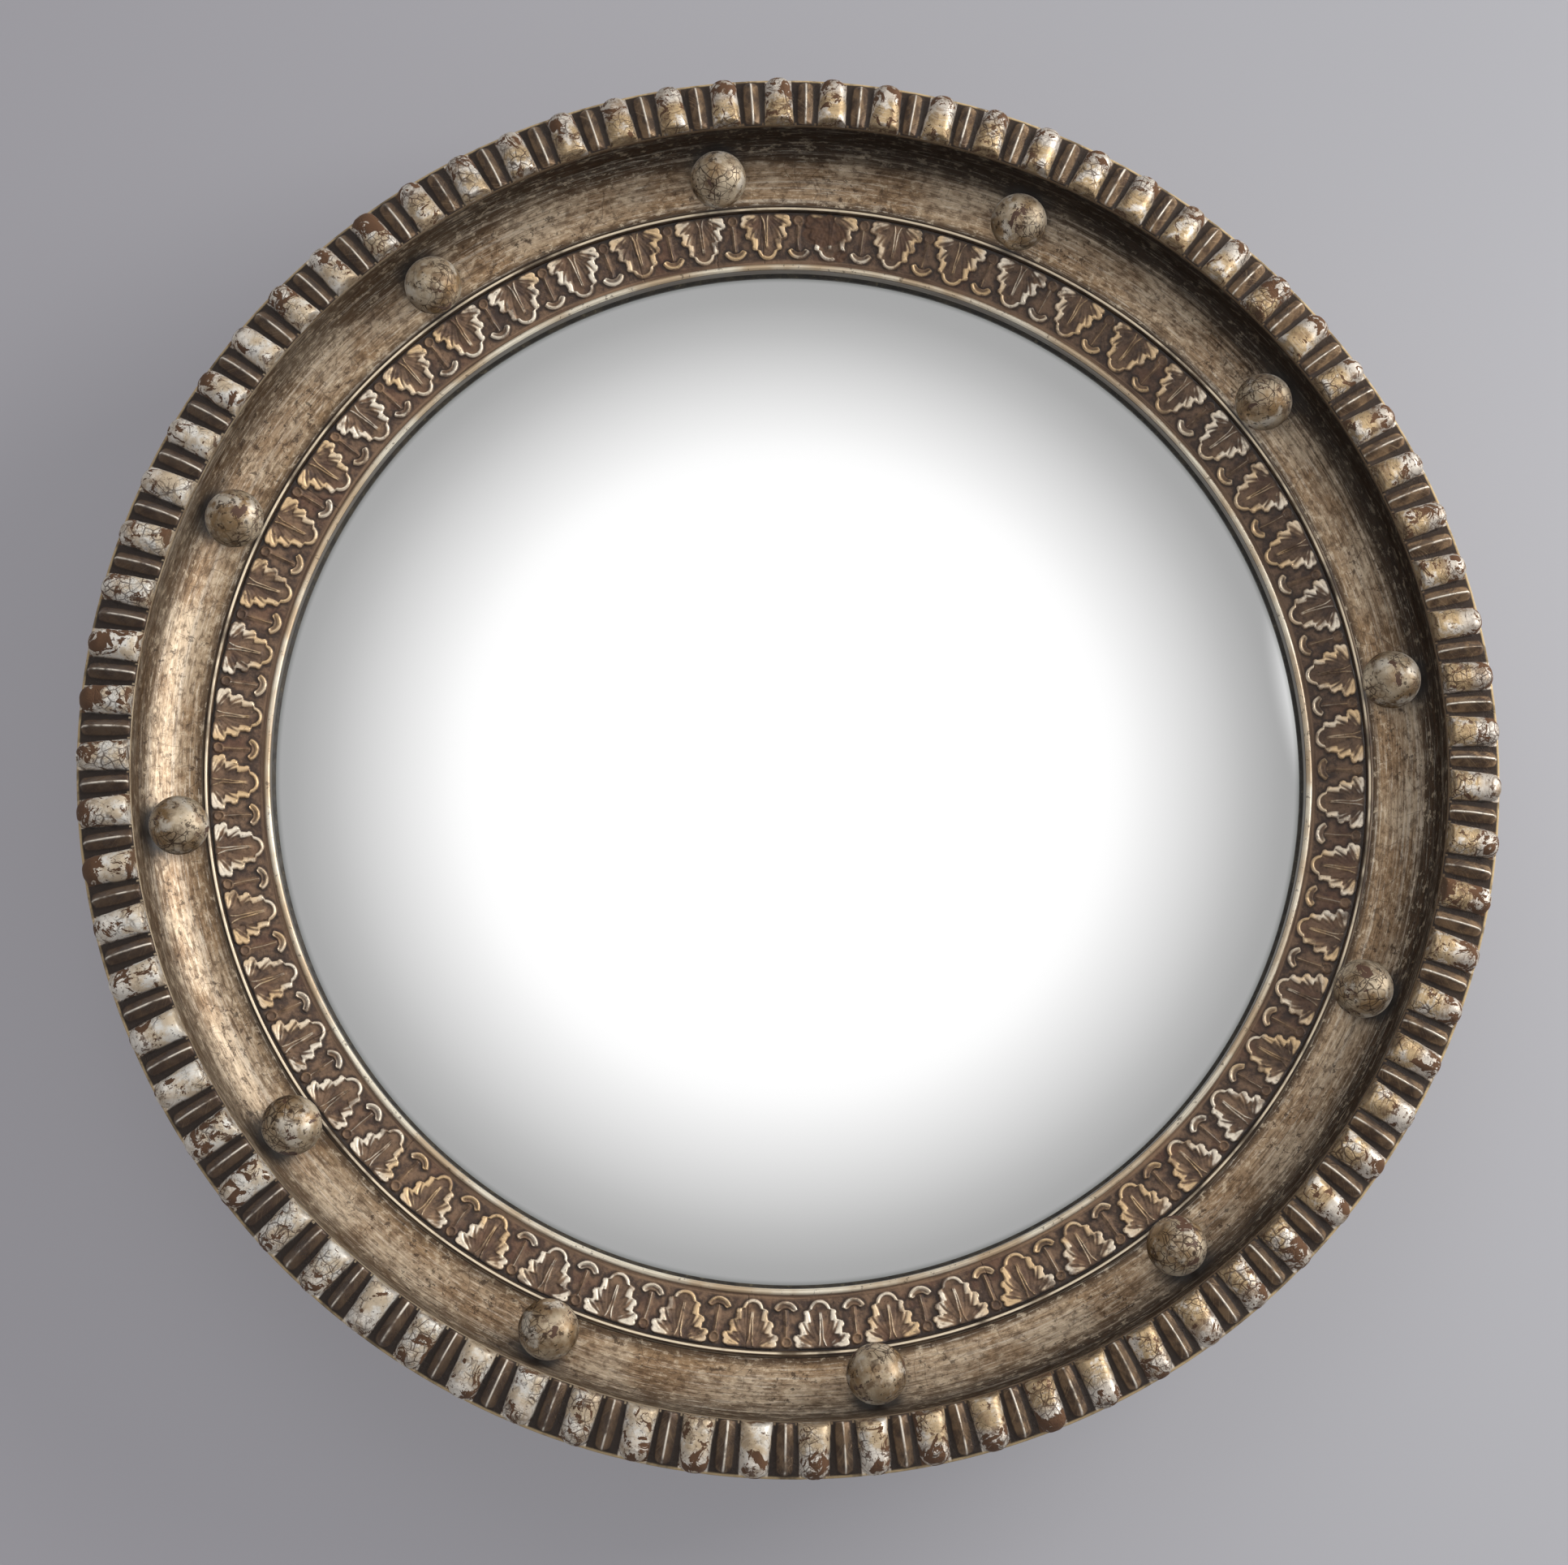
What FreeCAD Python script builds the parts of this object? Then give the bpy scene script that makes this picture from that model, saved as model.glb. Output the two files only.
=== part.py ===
"""Round convex wall mirror: a turned wooden frame with a gadrooned rim, a cove with balls and a leaf band.

Sizes are in millimetres. The mirror is modelled lying on its back: radius from the mirror's axis, depth measured
from the wall towards the room. stand() then turns it upright: +Z up, the room at -Y, the wall at Y = 0.
"""
import FreeCAD, Part
import math
import os

V = FreeCAD.Vector
ORIGIN = V(0, 0, 0)
AXIS = V(0, 0, 1)

# Radii, from the outside in
outer_diameter = 457.0
gadroon_width = 16.3
fillet_width = 1.2
cove_radius = 17.8
lip_width = 2.2
leaf_band_width = 17.0
bead_width = 2.2
slip_show = 1.0
glass_lap = 4.2
glass_play = 1.5

# Depths, from the wall out
wall_gap = 6.0
base_thickness = 12.0
lip_above_base = 18.0
fillet_above_lip = 23.3
cove_floor_drop = 2.5

# Frame rings
base_edge_inset = 6.5
base_edge_chamfer = 1.5
side_fillet_inset = 1.1
side_fillet_height = 3.0
side_foot_height = 3.0
side_hollow_bow = 1.6
rim_depth = 11.3
lip_step = 0.9
edge_chamfer = 0.45
tongue_thickness = 2.4
layer_joint_above_lip = 6.0

# Gadroons: lobes with reeds between them
lobe_count = 76
lobe_inner_radius = 5.25
lobe_outer_radius = 4.85
lobe_sides = 6
dome_steps = 2
lobe_slope = 6.0
lobe_start_angle = 3.54
core_inset = 1.1
core_chamfer = 0.8
reed_width = 2.6
reed_crest = 0.6
reed_height = 3.6
reed_end_slope = 1.6

# Leaf band
leaf_count = 52
leaf_drop = 2.2
leaf_fall = 4.0
leaf_base = 1.0
leaf_relief = 1.5
leaf_length = 15.2
leaf_half_width = 8.8
leaf_start_angle = 2.33
dart_half_width = 4.0
dart_foot = 3.8
dart_curl = 1.4
stem_half_width = 0.6

# Sight edge and glass
bead_rise = 1.0
slip_thickness = 2.2
glass_thickness = 3.0
bulge_radius = 640.0
ring_clearance = 0.3
seat_clearance = 0.1

# Back
backboard_thickness = 4.0
backboard_lap = 9.0
backboard_play = 0.5
packing_width = 5.5

# Balls and their brads
ball_count = 12
ball_diameter = 19.05
ball_offset = 6.0
brad_side = 2.0
brad_in_ball = 6.0
brad_in_frame = 7.0

# Turn buttons and their screws
button_count = 6
button_length = 27.0
button_width = 9.0
button_thickness = 1.5
button_gap = 0.2
button_reach = 12.0
button_screw_radius = 1.75
button_head_radius = 3.4
button_head_height = 1.8
button_screw_grip = 8.5
running_clearance = 0.05

# Hanger: strap folded round a D-shaped ring
strap_width = 12.0
strap_thickness = 1.0
strap_length = 18.0
wire_radius = 1.25
hanger_drop = 16.0
d_ring_half_width = 9.0
d_ring_leg = 4.5
hanger_screw_spacing = 8.0
hanger_screw_margin = 4.0
hanger_screw_radius = 1.5
hanger_head_radius = 2.7
hanger_head_height = 1.5
hanger_screw_grip = 9.0

# Wall bumpers
bumper_radius = 9.0
bumper_inset = 18.0
bumper_angles = (225.0, 315.0)

# Radii and depths that follow from the sizes above
rim_out = outer_diameter / 2
fillet_out = rim_out - gadroon_width
cove_wall = fillet_out - fillet_width
lip_out = cove_wall - cove_radius
lip_in = lip_out - lip_width
leaf_in = lip_in - leaf_band_width
bead_in = leaf_in - bead_width
sight = bead_in - slip_show
glass_radius = sight + glass_lap
rebate_radius = glass_radius + glass_play
board_rebate_radius = rebate_radius + backboard_lap
backboard_radius = board_rebate_radius - backboard_play
side_fillet_radius = rim_out - side_fillet_inset
base_radius = rim_out - base_edge_inset
ball_ring_radius = lip_out + ball_offset
bumper_ring_radius = base_radius - bumper_inset
hanger_axis_height = base_radius - hanger_drop

base_back = wall_gap
base_front = base_back + base_thickness
backboard_front = base_back + backboard_thickness
lip_top = base_front + lip_above_base
layer_joint = lip_top + layer_joint_above_lip
fillet_top = lip_top + fillet_above_lip
rim_seat = fillet_top - rim_depth
cove_floor = lip_top - cove_floor_drop
cove_centre = cove_floor + cove_radius
leaf_ground_out = lip_top - leaf_drop
leaf_ground_in = leaf_ground_out - leaf_fall
leaf_seat_out = leaf_ground_out - leaf_base
bead_seat = leaf_ground_in - leaf_base
slip_front = bead_seat - tongue_thickness
slip_back = slip_front - slip_thickness
glass_sight_depth = slip_back - seat_clearance
bulge_centre = glass_sight_depth - math.sqrt(bulge_radius**2 - sight**2)


def point(radius, depth):
    return V(radius, 0, depth)


def outline(start, *steps):
    """Closed face in the plane of radius and depth: a step is a corner, or an arc's middle and end as a pair."""
    first = point(*start)
    here = first
    edges = []
    for step in steps:
        if isinstance(step[0], tuple):
            there = point(*step[1])
            edges.append(Part.Arc(here, point(*step[0]), there).toShape())
        else:
            there = point(*step)
            edges.append(Part.LineSegment(here, there).toShape())
        here = there
    edges.append(Part.LineSegment(here, first).toShape())
    return Part.Face(Part.Wire(edges))


def turned(face, angle=360.0):
    return face.revolve(ORIGIN, AXIS, angle)


def around(shape, angle):
    copy = shape.copy()
    copy.rotate(ORIGIN, AXIS, angle)
    return copy


def arc_middle(centre, radius, start_angle, end_angle):
    angle = math.radians((start_angle + end_angle) / 2)
    return (centre[0] + radius * math.cos(angle), centre[1] + radius * math.sin(angle))


def prism(corners, direction):
    """A straight solid on a flat outline."""
    return Part.Face(Part.makePolygon(corners + [corners[0]])).extrude(direction)


def wedge_of(shape, count):
    """What lies of a shape between two flat radial cuts, one pitch apart, with angle 0 in the middle."""
    box = shape.BoundBox
    reach = 2 * box.XMax
    width = reach * math.tan(math.pi / count)
    slice_of_ring = prism([V(0, 0, box.ZMin - 1), V(reach, -width, box.ZMin - 1), V(reach, width, box.ZMin - 1)],
                          V(0, 0, box.ZLength + 2))
    return shape.common(slice_of_ring).Solids[0]


def flat_sided(face, count):
    """One side of a ring with straight sides: an outline drawn out across the pitch."""
    width = face.BoundBox.XMax * math.tan(math.pi / count) + 1
    face.translate(V(0, -width, 0))
    return face.extrude(V(0, 2 * width, 0))


def ring_of_wedges(wedge, count, start_angle):
    """Join equal wedges side by side into one ring: all their faces but the flat radial cuts make its skin."""
    half_angle = math.pi / count
    skin = []
    for face in wedge.Faces:
        centre = face.CenterOfMass
        if abs(abs(math.atan2(centre.y, centre.x)) - half_angle) > 1e-7:
            skin.append(face)
    faces = [around(face, start_angle + i * 360.0 / count) for i in range(count) for face in skin]
    shell = Part.makeShell(faces)
    shell.sewShape()
    ring = Part.makeSolid(shell)
    if ring.Volume < 0:
        ring.reverse()
    return ring


def glass_front(radius):
    return bulge_centre + math.sqrt(bulge_radius**2 - radius**2)


def glass_back(radius):
    return bulge_centre + math.sqrt((bulge_radius - glass_thickness)**2 - radius**2)


def base_ring():
    """Flat ring at the back, with the backboard's rebate and pilot holes for every screw."""
    ring = turned(outline(
        (rebate_radius, backboard_front),
        (board_rebate_radius, backboard_front),
        (board_rebate_radius, base_back),
        (base_radius - base_edge_chamfer, base_back),
        (base_radius, base_back + base_edge_chamfer),
        (base_radius, base_front),
        (rebate_radius, base_front),
    ))
    holes = [screw_hole(x, y, button_screw_radius, button_screw_grip) for x, y in button_places()]
    holes += [screw_hole(x, y, hanger_screw_radius, hanger_screw_grip) for x, y in hanger_screw_places()]
    return ring.cut(holes)


def front_section():
    """Both front layers as one: slip rebate, leaf band's seat, lip, cove, fillet, rim's seat and hollow side."""
    lip_shoulder = lip_top - lip_step
    side_top = rim_seat - side_fillet_height
    foot_top = base_front + side_foot_height
    hollow_middle = ((base_radius + side_fillet_radius) / 2 - side_hollow_bow, (foot_top + side_top) / 2)
    return turned(outline(
        (bead_in, slip_front),
        (bead_in, bead_seat),
        (leaf_in, bead_seat),
        (lip_in, leaf_seat_out),
        (lip_in, lip_shoulder),
        (lip_in + edge_chamfer, lip_top),
        (lip_out - edge_chamfer, lip_top),
        (lip_out, lip_shoulder),
        (lip_out, cove_floor),
        (arc_middle((lip_out, cove_centre), cove_radius, 270, 360), (cove_wall, cove_centre)),
        (cove_wall, fillet_top - edge_chamfer),
        (cove_wall + edge_chamfer, fillet_top),
        (fillet_out, fillet_top),
        (fillet_out, rim_seat),
        (side_fillet_radius, rim_seat),
        (side_fillet_radius, side_top),
        (hollow_middle, (base_radius, foot_top)),
        (base_radius, base_front),
        (rebate_radius, base_front),
        (rebate_radius, slip_front),
    ))


def layer(back, front):
    """What lies of the turned front section between two depths."""
    slab = Part.makeCylinder(outer_diameter, front - back, point(0, back))
    return front_section().common(slab).Solids[0]


def cove_ring():
    return layer(base_front, layer_joint)


def cove_wall_ring():
    return layer(layer_joint, fillet_top)


def lobe_section(along, radius):
    """Half a regular polygon across the lobe, which stands on the core."""
    angles = [math.pi * i / lobe_sides for i in range(lobe_sides + 1)]
    return [V(along, radius * math.cos(angle), radius * math.sin(angle)) for angle in angles]


def lobe():
    """One gadroon: half a blunt egg, square at the fillet and domed at the outside, with flat facets."""
    straight = (gadroon_width - lobe_outer_radius) / math.cos(math.radians(lobe_slope))
    sections = [lobe_section(0, lobe_inner_radius)]
    for step in range(dome_steps):
        angle = math.pi / 2 * step / dome_steps
        sections.append(lobe_section(
            straight + lobe_outer_radius * math.sin(angle), lobe_outer_radius * math.cos(angle)))
    tip = V(straight + lobe_outer_radius, 0, 0)
    facets = [sections[0], [s[0] for s in sections] + [tip] + [s[-1] for s in reversed(sections)]]
    for near, far in zip(sections, sections[1:]):
        facets += [[near[i], far[i], far[i + 1], near[i + 1]] for i in range(lobe_sides)]
    facets += [[sections[-1][i], tip, sections[-1][i + 1]] for i in range(lobe_sides)]
    faces = [Part.Face(Part.makePolygon(corners + [corners[0]])) for corners in facets]
    return Part.makeSolid(Part.makeShell(faces))


def reed():
    """One reed: a ridge with sloping flanks along the core, cut back at its outer end."""
    length = gadroon_width - core_inset
    base, crest = reed_width / 2, reed_crest / 2
    ridge = prism([V(0, -base, 0), V(0, -crest, reed_height), V(0, crest, reed_height), V(0, base, 0)],
                  V(length, 0, 0))
    end = prism([V(length, -reed_width, reed_height - reed_end_slope), V(length, -reed_width, reed_height + 1),
                 V(length - reed_end_slope, -reed_width, reed_height + 1),
                 V(length - reed_end_slope, -reed_width, reed_height)], V(0, 2 * reed_width, 0))
    return ridge.cut(end)


def on_core(shape):
    """Move a form from its own plane, X outwards and Z up, onto the core's slope, its inner end at the fillet."""
    shape.rotate(ORIGIN, V(0, 1, 0), lobe_slope)
    shape.translate(point(fillet_out, fillet_top))
    return shape


def core_depth(radius):
    return fillet_top - (radius - fillet_out) * math.tan(math.radians(lobe_slope))


def gadroon_rim():
    """Carved outer ring: each wedge holds one lobe and half a reed at each side, on a sloping core."""
    pitch = 360.0 / lobe_count
    core_out = rim_out - core_inset
    chamfer_in = core_out - core_chamfer
    core = flat_sided(outline(
        (fillet_out, rim_seat),
        (fillet_out, core_depth(fillet_out)),
        (chamfer_in, core_depth(chamfer_in)),
        (core_out, core_depth(chamfer_in) - core_chamfer),
        (core_out, rim_seat),
    ), lobe_count)
    carved = core.fuse([on_core(lobe()), around(on_core(reed()), pitch / 2), around(on_core(reed()), -pitch / 2)])
    return ring_of_wedges(wedge_of(carved, lobe_count), lobe_count, lobe_start_angle)


def leaf_seat(radius):
    """Depth of the sloping seat under the leaf band."""
    return bead_seat + (leaf_seat_out - bead_seat) * (radius - leaf_in) / leaf_band_width


def leaf_band_profile():
    """Inner and outer radius of the band's flat sides, with the seat's depth at each."""
    cosine = math.cos(math.pi / leaf_count)
    outside = lip_in * cosine
    return (leaf_in, leaf_seat(leaf_in / cosine)), (outside, leaf_seat(lip_in))


def pad(half_outline):
    """A raised form of the leaf band: X outwards on the ground's slope, the outline mirrored about its middle."""
    (inside, seat_in), (outside, seat_out) = leaf_band_profile()
    other_half = [(x, -y) for x, y in reversed(half_outline) if y > 0]
    corners = [V(x, y, -leaf_base / 2) for x, y in half_outline + other_half]
    form = prism(corners, V(0, 0, leaf_base / 2 + leaf_relief))
    form.rotate(ORIGIN, V(0, 1, 0), -math.degrees(math.atan2(seat_out - seat_in, outside - inside)))
    form.translate(point((inside + outside) / 2, (seat_in + seat_out) / 2 + leaf_base))
    return form


def leaf():
    """One leaf: broad fronds towards the lip, a step in at each side and a round tip towards the glass."""
    top, wide = leaf_length / 2, leaf_half_width
    fronds = [(1.0, 0.55), (0.75, 0.88), (0.45, 1.0), (0.1, 0.9)]
    tongue = [(0.0, 0.74), (-0.45, 0.66), (-0.85, 0.3), (-1.0, 0.0)]
    return pad([(top * x, wide * y) for x, y in fronds + tongue])


def dart():
    """One dart: a narrow stem from the lip to a curled foot that is level with the tips of the leaves."""
    tip = -leaf_length / 2
    return pad([(leaf_length / 2, stem_half_width), (tip + dart_foot - dart_curl, stem_half_width),
                (tip + dart_foot, dart_half_width), (tip + dart_foot * 0.4, dart_half_width * 0.65), (tip, 0)])


def leaf_band():
    """Moulded band on the sloping seat inside the lip: each wedge holds a leaf and half a dart at each side."""
    pitch = 360.0 / leaf_count
    (inside, seat_in), (outside, seat_out) = leaf_band_profile()
    strip = flat_sided(outline(
        (inside, seat_in), (inside, seat_in + leaf_base), (outside, seat_out + leaf_base), (outside, seat_out)),
        leaf_count)
    carved = strip.fuse([leaf(), around(dart(), pitch / 2), around(dart(), -pitch / 2)])
    return ring_of_wedges(wedge_of(carved, leaf_count), leaf_count, leaf_start_angle)


def sight_bead():
    """Thin bead between the leaf band and the slip."""
    shoulder = leaf_ground_in + bead_rise / 2
    crest = leaf_ground_in + bead_rise
    return turned(outline(
        (bead_in, bead_seat), (bead_in, shoulder), (bead_in + bead_rise / 2, crest),
        (leaf_in - bead_rise / 2, crest), (leaf_in, shoulder), (leaf_in, bead_seat)))


def black_slip():
    outside = rebate_radius - ring_clearance
    return turned(outline(
        (sight, slip_back), (sight, slip_back + slip_thickness / 2), (bead_in, slip_front),
        (outside, slip_front), (outside, slip_back)))


def mirror_glass():
    """Convex glass of even thickness."""
    middle = glass_radius / 2
    return turned(outline(
        (0, glass_back(0)), ((middle, glass_back(middle)), (glass_radius, glass_back(glass_radius))),
        (glass_radius, glass_front(glass_radius)), ((middle, glass_front(middle)), (0, glass_front(0)))))


def packing_ring():
    """Ring that fills the space between the backboard and the edge of the glass."""
    inside = glass_radius - packing_width
    outside = glass_radius
    return turned(outline(
        (inside, backboard_front), (inside, glass_back(inside) - seat_clearance),
        (outside, glass_back(outside) - seat_clearance), (outside, backboard_front)))


def backboard():
    return Part.makeCylinder(backboard_radius, backboard_thickness, V(0, 0, base_back))


def ball_centre_depth():
    """Depth at which a ball rests against the cove's arc."""
    reach = cove_radius - ball_diameter / 2
    return cove_centre - math.sqrt(reach**2 - ball_offset**2)


def ball_angle(index):
    return 90.0 - index * 360.0 / ball_count


def brad(index):
    """Square brad driven through the point where a ball touches the cove: it lies in both of them."""
    fall = cove_centre - ball_centre_depth()
    tilt = math.degrees(math.atan2(ball_offset, fall))
    length = brad_in_ball + brad_in_frame
    nail = Part.makeBox(brad_side, brad_side, length, V(-brad_side / 2, -brad_side / 2, -length))
    nail.translate(V(0, 0, brad_in_ball - ball_diameter / 2))
    nail.rotate(ORIGIN, V(0, 1, 0), -tilt)
    nail.translate(point(ball_ring_radius, ball_centre_depth()))
    return around(nail, ball_angle(index))


def ball(index):
    sphere = Part.makeSphere(ball_diameter / 2, point(ball_ring_radius, ball_centre_depth()))
    return around(sphere, ball_angle(index))


def at_angle(radius, angle):
    return radius * math.cos(math.radians(angle)), radius * math.sin(math.radians(angle))


def button_places():
    """Screw places of the turn buttons, evenly round the base ring, none of them at the top."""
    radius = backboard_radius - button_reach + button_length - button_width / 2
    return [at_angle(radius, i * 360.0 / button_count) for i in range(button_count)]


def hanger_screw_places():
    lower = hanger_axis_height - strap_length + hanger_screw_margin
    return [(0, lower), (0, lower + hanger_screw_spacing)]


def screw_hole(x, y, radius, depth):
    return Part.makeCylinder(radius, depth, V(x, y, base_back))


def screw(x, y, radius, head_radius, head_height, under_head, grip):
    """Screw driven from the back: under_head is what lies between its head and the wood."""
    head_face = base_back - under_head
    body = turned(outline(
        (0, head_face - head_height), (head_radius, head_face - head_height), (head_radius, head_face),
        (radius, head_face), (radius, base_back + grip), (0, base_back + grip)))
    body.translate(V(x, y, 0))
    return body


def turn_button(index):
    """Flat strip with round ends: its hole near one end, its long end over the backboard."""
    x, y = button_places()[index]
    end_radius = button_width / 2
    span = button_length - button_width
    far_face = base_back - button_gap - button_thickness
    strip = Part.makeBox(span, button_width, button_thickness, V(-span, -end_radius, far_face))
    for centre in (0, -span):
        strip = strip.fuse(Part.makeCylinder(end_radius, button_thickness, V(centre, 0, far_face)))
    hole = Part.makeCylinder(button_screw_radius + running_clearance, button_thickness, V(0, 0, far_face))
    strip = strip.removeSplitter().cut(hole)
    strip.rotate(ORIGIN, AXIS, index * 360.0 / button_count)
    strip.translate(V(x, y, 0))
    return strip


def turn_button_screws():
    under_head = button_thickness + 2 * button_gap
    return Part.makeCompound([
        screw(x, y, button_screw_radius, button_head_radius, button_head_height, under_head, button_screw_grip)
        for x, y in button_places()])


def hanger_axis_depth():
    return base_back - strap_thickness - running_clearance - wire_radius


def hanger_strap():
    """Steel strap in two layers, folded round the ring's straight leg and screwed to the base ring."""
    loop_inner = wire_radius + running_clearance
    loop_outer = loop_inner + strap_thickness
    depth = hanger_axis_depth()
    plate = Part.makeBox(
        strap_width, strap_length, 2 * strap_thickness,
        V(-strap_width / 2, hanger_axis_height - strap_length, base_back - 2 * strap_thickness))
    start = V(-strap_width / 2, hanger_axis_height, depth)
    loop = Part.makeCylinder(loop_outer, strap_width, start, V(1, 0, 0))
    bore = Part.makeCylinder(loop_inner, strap_width, start, V(1, 0, 0))
    holes = [
        Part.makeCylinder(hanger_screw_radius, 2 * strap_thickness, V(x, y, base_back - 2 * strap_thickness))
        for x, y in hanger_screw_places()]
    return plate.fuse(loop).cut([bore] + holes)


def hanger_ring():
    """D-shaped wire ring: straight leg in the strap, two short sides and a half-round bow above them."""
    depth = hanger_axis_depth()
    end = d_ring_half_width + wire_radius
    bow_centre = V(0, hanger_axis_height + d_ring_leg, depth)
    leg = Part.makeCylinder(wire_radius, 2 * end, V(-end, hanger_axis_height, depth), V(1, 0, 0))
    sides = [
        Part.makeCylinder(wire_radius, d_ring_leg, V(x, hanger_axis_height, depth), V(0, 1, 0))
        for x in (-d_ring_half_width, d_ring_half_width)]
    section = Part.Face(Part.Wire(Part.makeCircle(
        wire_radius, bow_centre + V(d_ring_half_width, 0, 0), V(0, 1, 0))))
    bow = section.revolve(bow_centre, AXIS, 180)
    return leg.fuse(sides + [bow])


def hanger_screws():
    return Part.makeCompound([
        screw(x, y, hanger_screw_radius, hanger_head_radius, hanger_head_height, 2 * strap_thickness,
              hanger_screw_grip)
        for x, y in hanger_screw_places()])


def wall_bumpers():
    pads = []
    for angle in bumper_angles:
        x, y = at_angle(bumper_ring_radius, angle)
        pads.append(Part.makeCylinder(bumper_radius, wall_gap, V(x, y, 0)))
    return Part.makeCompound(pads)


def stand(shape):
    """Turn the mirror upright: depth from the wall becomes -Y, and its own Y becomes +Z."""
    shape.rotate(ORIGIN, V(1, 0, 0), 90)
    return shape


def nodes():
    pieces = {
        "base_ring": base_ring(),
        "cove_ring": cove_ring(),
        "cove_wall_ring": cove_wall_ring(),
        "gadroon_rim": gadroon_rim(),
        "leaf_band": leaf_band(),
        "sight_bead": sight_bead(),
        "black_slip": black_slip(),
        "mirror_glass": mirror_glass(),
        "packing_ring": packing_ring(),
        "backboard": backboard(),
        "ball_brads": Part.makeCompound([brad(i) for i in range(ball_count)]),
        "turn_button_screws": turn_button_screws(),
        "hanger_strap": hanger_strap(),
        "hanger_ring": hanger_ring(),
        "hanger_screws": hanger_screws(),
        "wall_bumpers": wall_bumpers(),
    }
    for i in range(ball_count):
        pieces["ball_%02d" % (i + 1)] = ball(i)
    for i in range(button_count):
        pieces["turn_button_%d" % (i + 1)] = turn_button(i)
    return pieces


os.makedirs("parts", exist_ok=True)
for name, piece in nodes().items():
    stand(piece).exportStep("parts/%s.step" % name)
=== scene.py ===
"""Looks of the round convex wall mirror: worn silver leaf over bole, carved rims, convex glass and a finished back."""
import math

import bpy
import numpy as np
from mathutils import Matrix, Vector


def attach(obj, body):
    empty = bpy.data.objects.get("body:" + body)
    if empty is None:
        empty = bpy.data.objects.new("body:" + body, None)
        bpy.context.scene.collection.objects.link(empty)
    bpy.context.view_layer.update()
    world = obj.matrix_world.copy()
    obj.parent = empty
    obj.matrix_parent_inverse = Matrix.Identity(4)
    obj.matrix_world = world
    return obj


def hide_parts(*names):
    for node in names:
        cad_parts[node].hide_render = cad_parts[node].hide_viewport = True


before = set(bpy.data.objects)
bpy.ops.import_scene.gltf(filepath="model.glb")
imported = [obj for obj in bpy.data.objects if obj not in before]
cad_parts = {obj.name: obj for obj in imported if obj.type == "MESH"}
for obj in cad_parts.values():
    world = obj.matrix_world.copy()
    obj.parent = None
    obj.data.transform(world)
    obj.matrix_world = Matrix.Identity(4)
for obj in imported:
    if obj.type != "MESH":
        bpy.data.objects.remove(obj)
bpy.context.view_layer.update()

MM = 0.001
TURN = 2 * math.pi

# Sizes in millimetres, as in the solids: radius from the mirror's axis, depth from the wall
RIM_OUT = 228.4
RIM_SEAT = 48.0
CORE_OUT = 228.35
CORE_SLOPE = math.radians(6.0)
FILLET_TOP = 59.3
LOBES = 76
LOBE_START = math.radians(3.54)
LIP_OUT, LIP_IN, LIP_TOP = 193.2, 191.0, 36.0
COVE_RADIUS, COVE_CENTRE = 17.8, 51.3
LEAF_IN = 174.0
BEAD_IN = 171.8
LEAVES = 52
LEAF_START = math.radians(2.33)
BALLS = 12
BALL_RING, BALL_DEPTH, BALL_RADIUS = 199.2, 45.6, 9.52
BUTTON_RING = 195.5
RING_AXIS, RING_DEPTH = 206.0, 3.7

# Only in the looks: the rim's core reaches a little further, and its lobes stand a little closer to the cove
CORE_EDGE = 0.6
RIM_START = 211.3
DOME_START = 12.41
DOME_UNDERCUT = 1.8
LEAF_MIDDLE = 182
# Turn round the mirror on the lamp's side, by which light and shade are painted; the walls half a turn from it face the
# lamp most
LIT_TURN = 0.2


# ---------------------------------------------------------------- meshes

def rise(low, high, x):
    """Smooth step from 0 at low to 1 at high."""
    t = np.clip((x - low) / (high - low), 0, 1)
    return t * t * (3 - 2 * t)


def fall(low, high, x):
    """Smooth step from 1 at low to 0 at high."""
    return 1 - rise(low, high, x)


def hump(x, centre, width):
    return np.exp(-((x - centre) / width)**2)


def facing_lamp(angle):
    """Mask for painted light and shade: 1 on the side of the mirror that the lamp reaches, 0 on the side next to it."""
    return rise(-0.1, 0.9, -np.cos(angle - LIT_TURN))


def value_noise(points, scale, seed):
    """Smooth noise between -1 and 1 at points of any number of columns."""
    cells = np.asarray(points, float) * scale
    base = np.floor(cells).astype(np.int64)
    part = cells - base
    part = part * part * (3 - 2 * part)
    total = np.zeros(len(cells))
    dims = cells.shape[1]
    primes = np.array([73856093, 19349663, 83492791][:dims], dtype=np.int64)
    for corner in range(2**dims):
        bits = np.array([(corner >> k) & 1 for k in range(dims)])
        hashed = ((base + bits) * primes).sum(1) + seed * 7919
        hashed = (hashed ^ (hashed >> 13)) * 1274126177
        random = ((hashed ^ (hashed >> 16)) & 0xFFFF) / 32767.5 - 1
        total += random * np.prod(np.where(bits, part, 1 - part), axis=1)
    return total


def grid_noise(across, along, scale, seed):
    """Smooth noise over a grid, from its columns' places across and its rows' places along."""
    across, along = np.broadcast_arrays(across, along)
    return value_noise(np.stack([across.ravel(), along.ravel()], 1), scale, seed).reshape(across.shape)


def upright(radius, angle, depth):
    """Radius and depth in millimetres, angle as seen from the front, as points in the frame's metres."""
    return np.stack([radius * np.cos(angle), -depth + 0 * angle, radius * np.sin(angle)], -1) * MM


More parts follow.
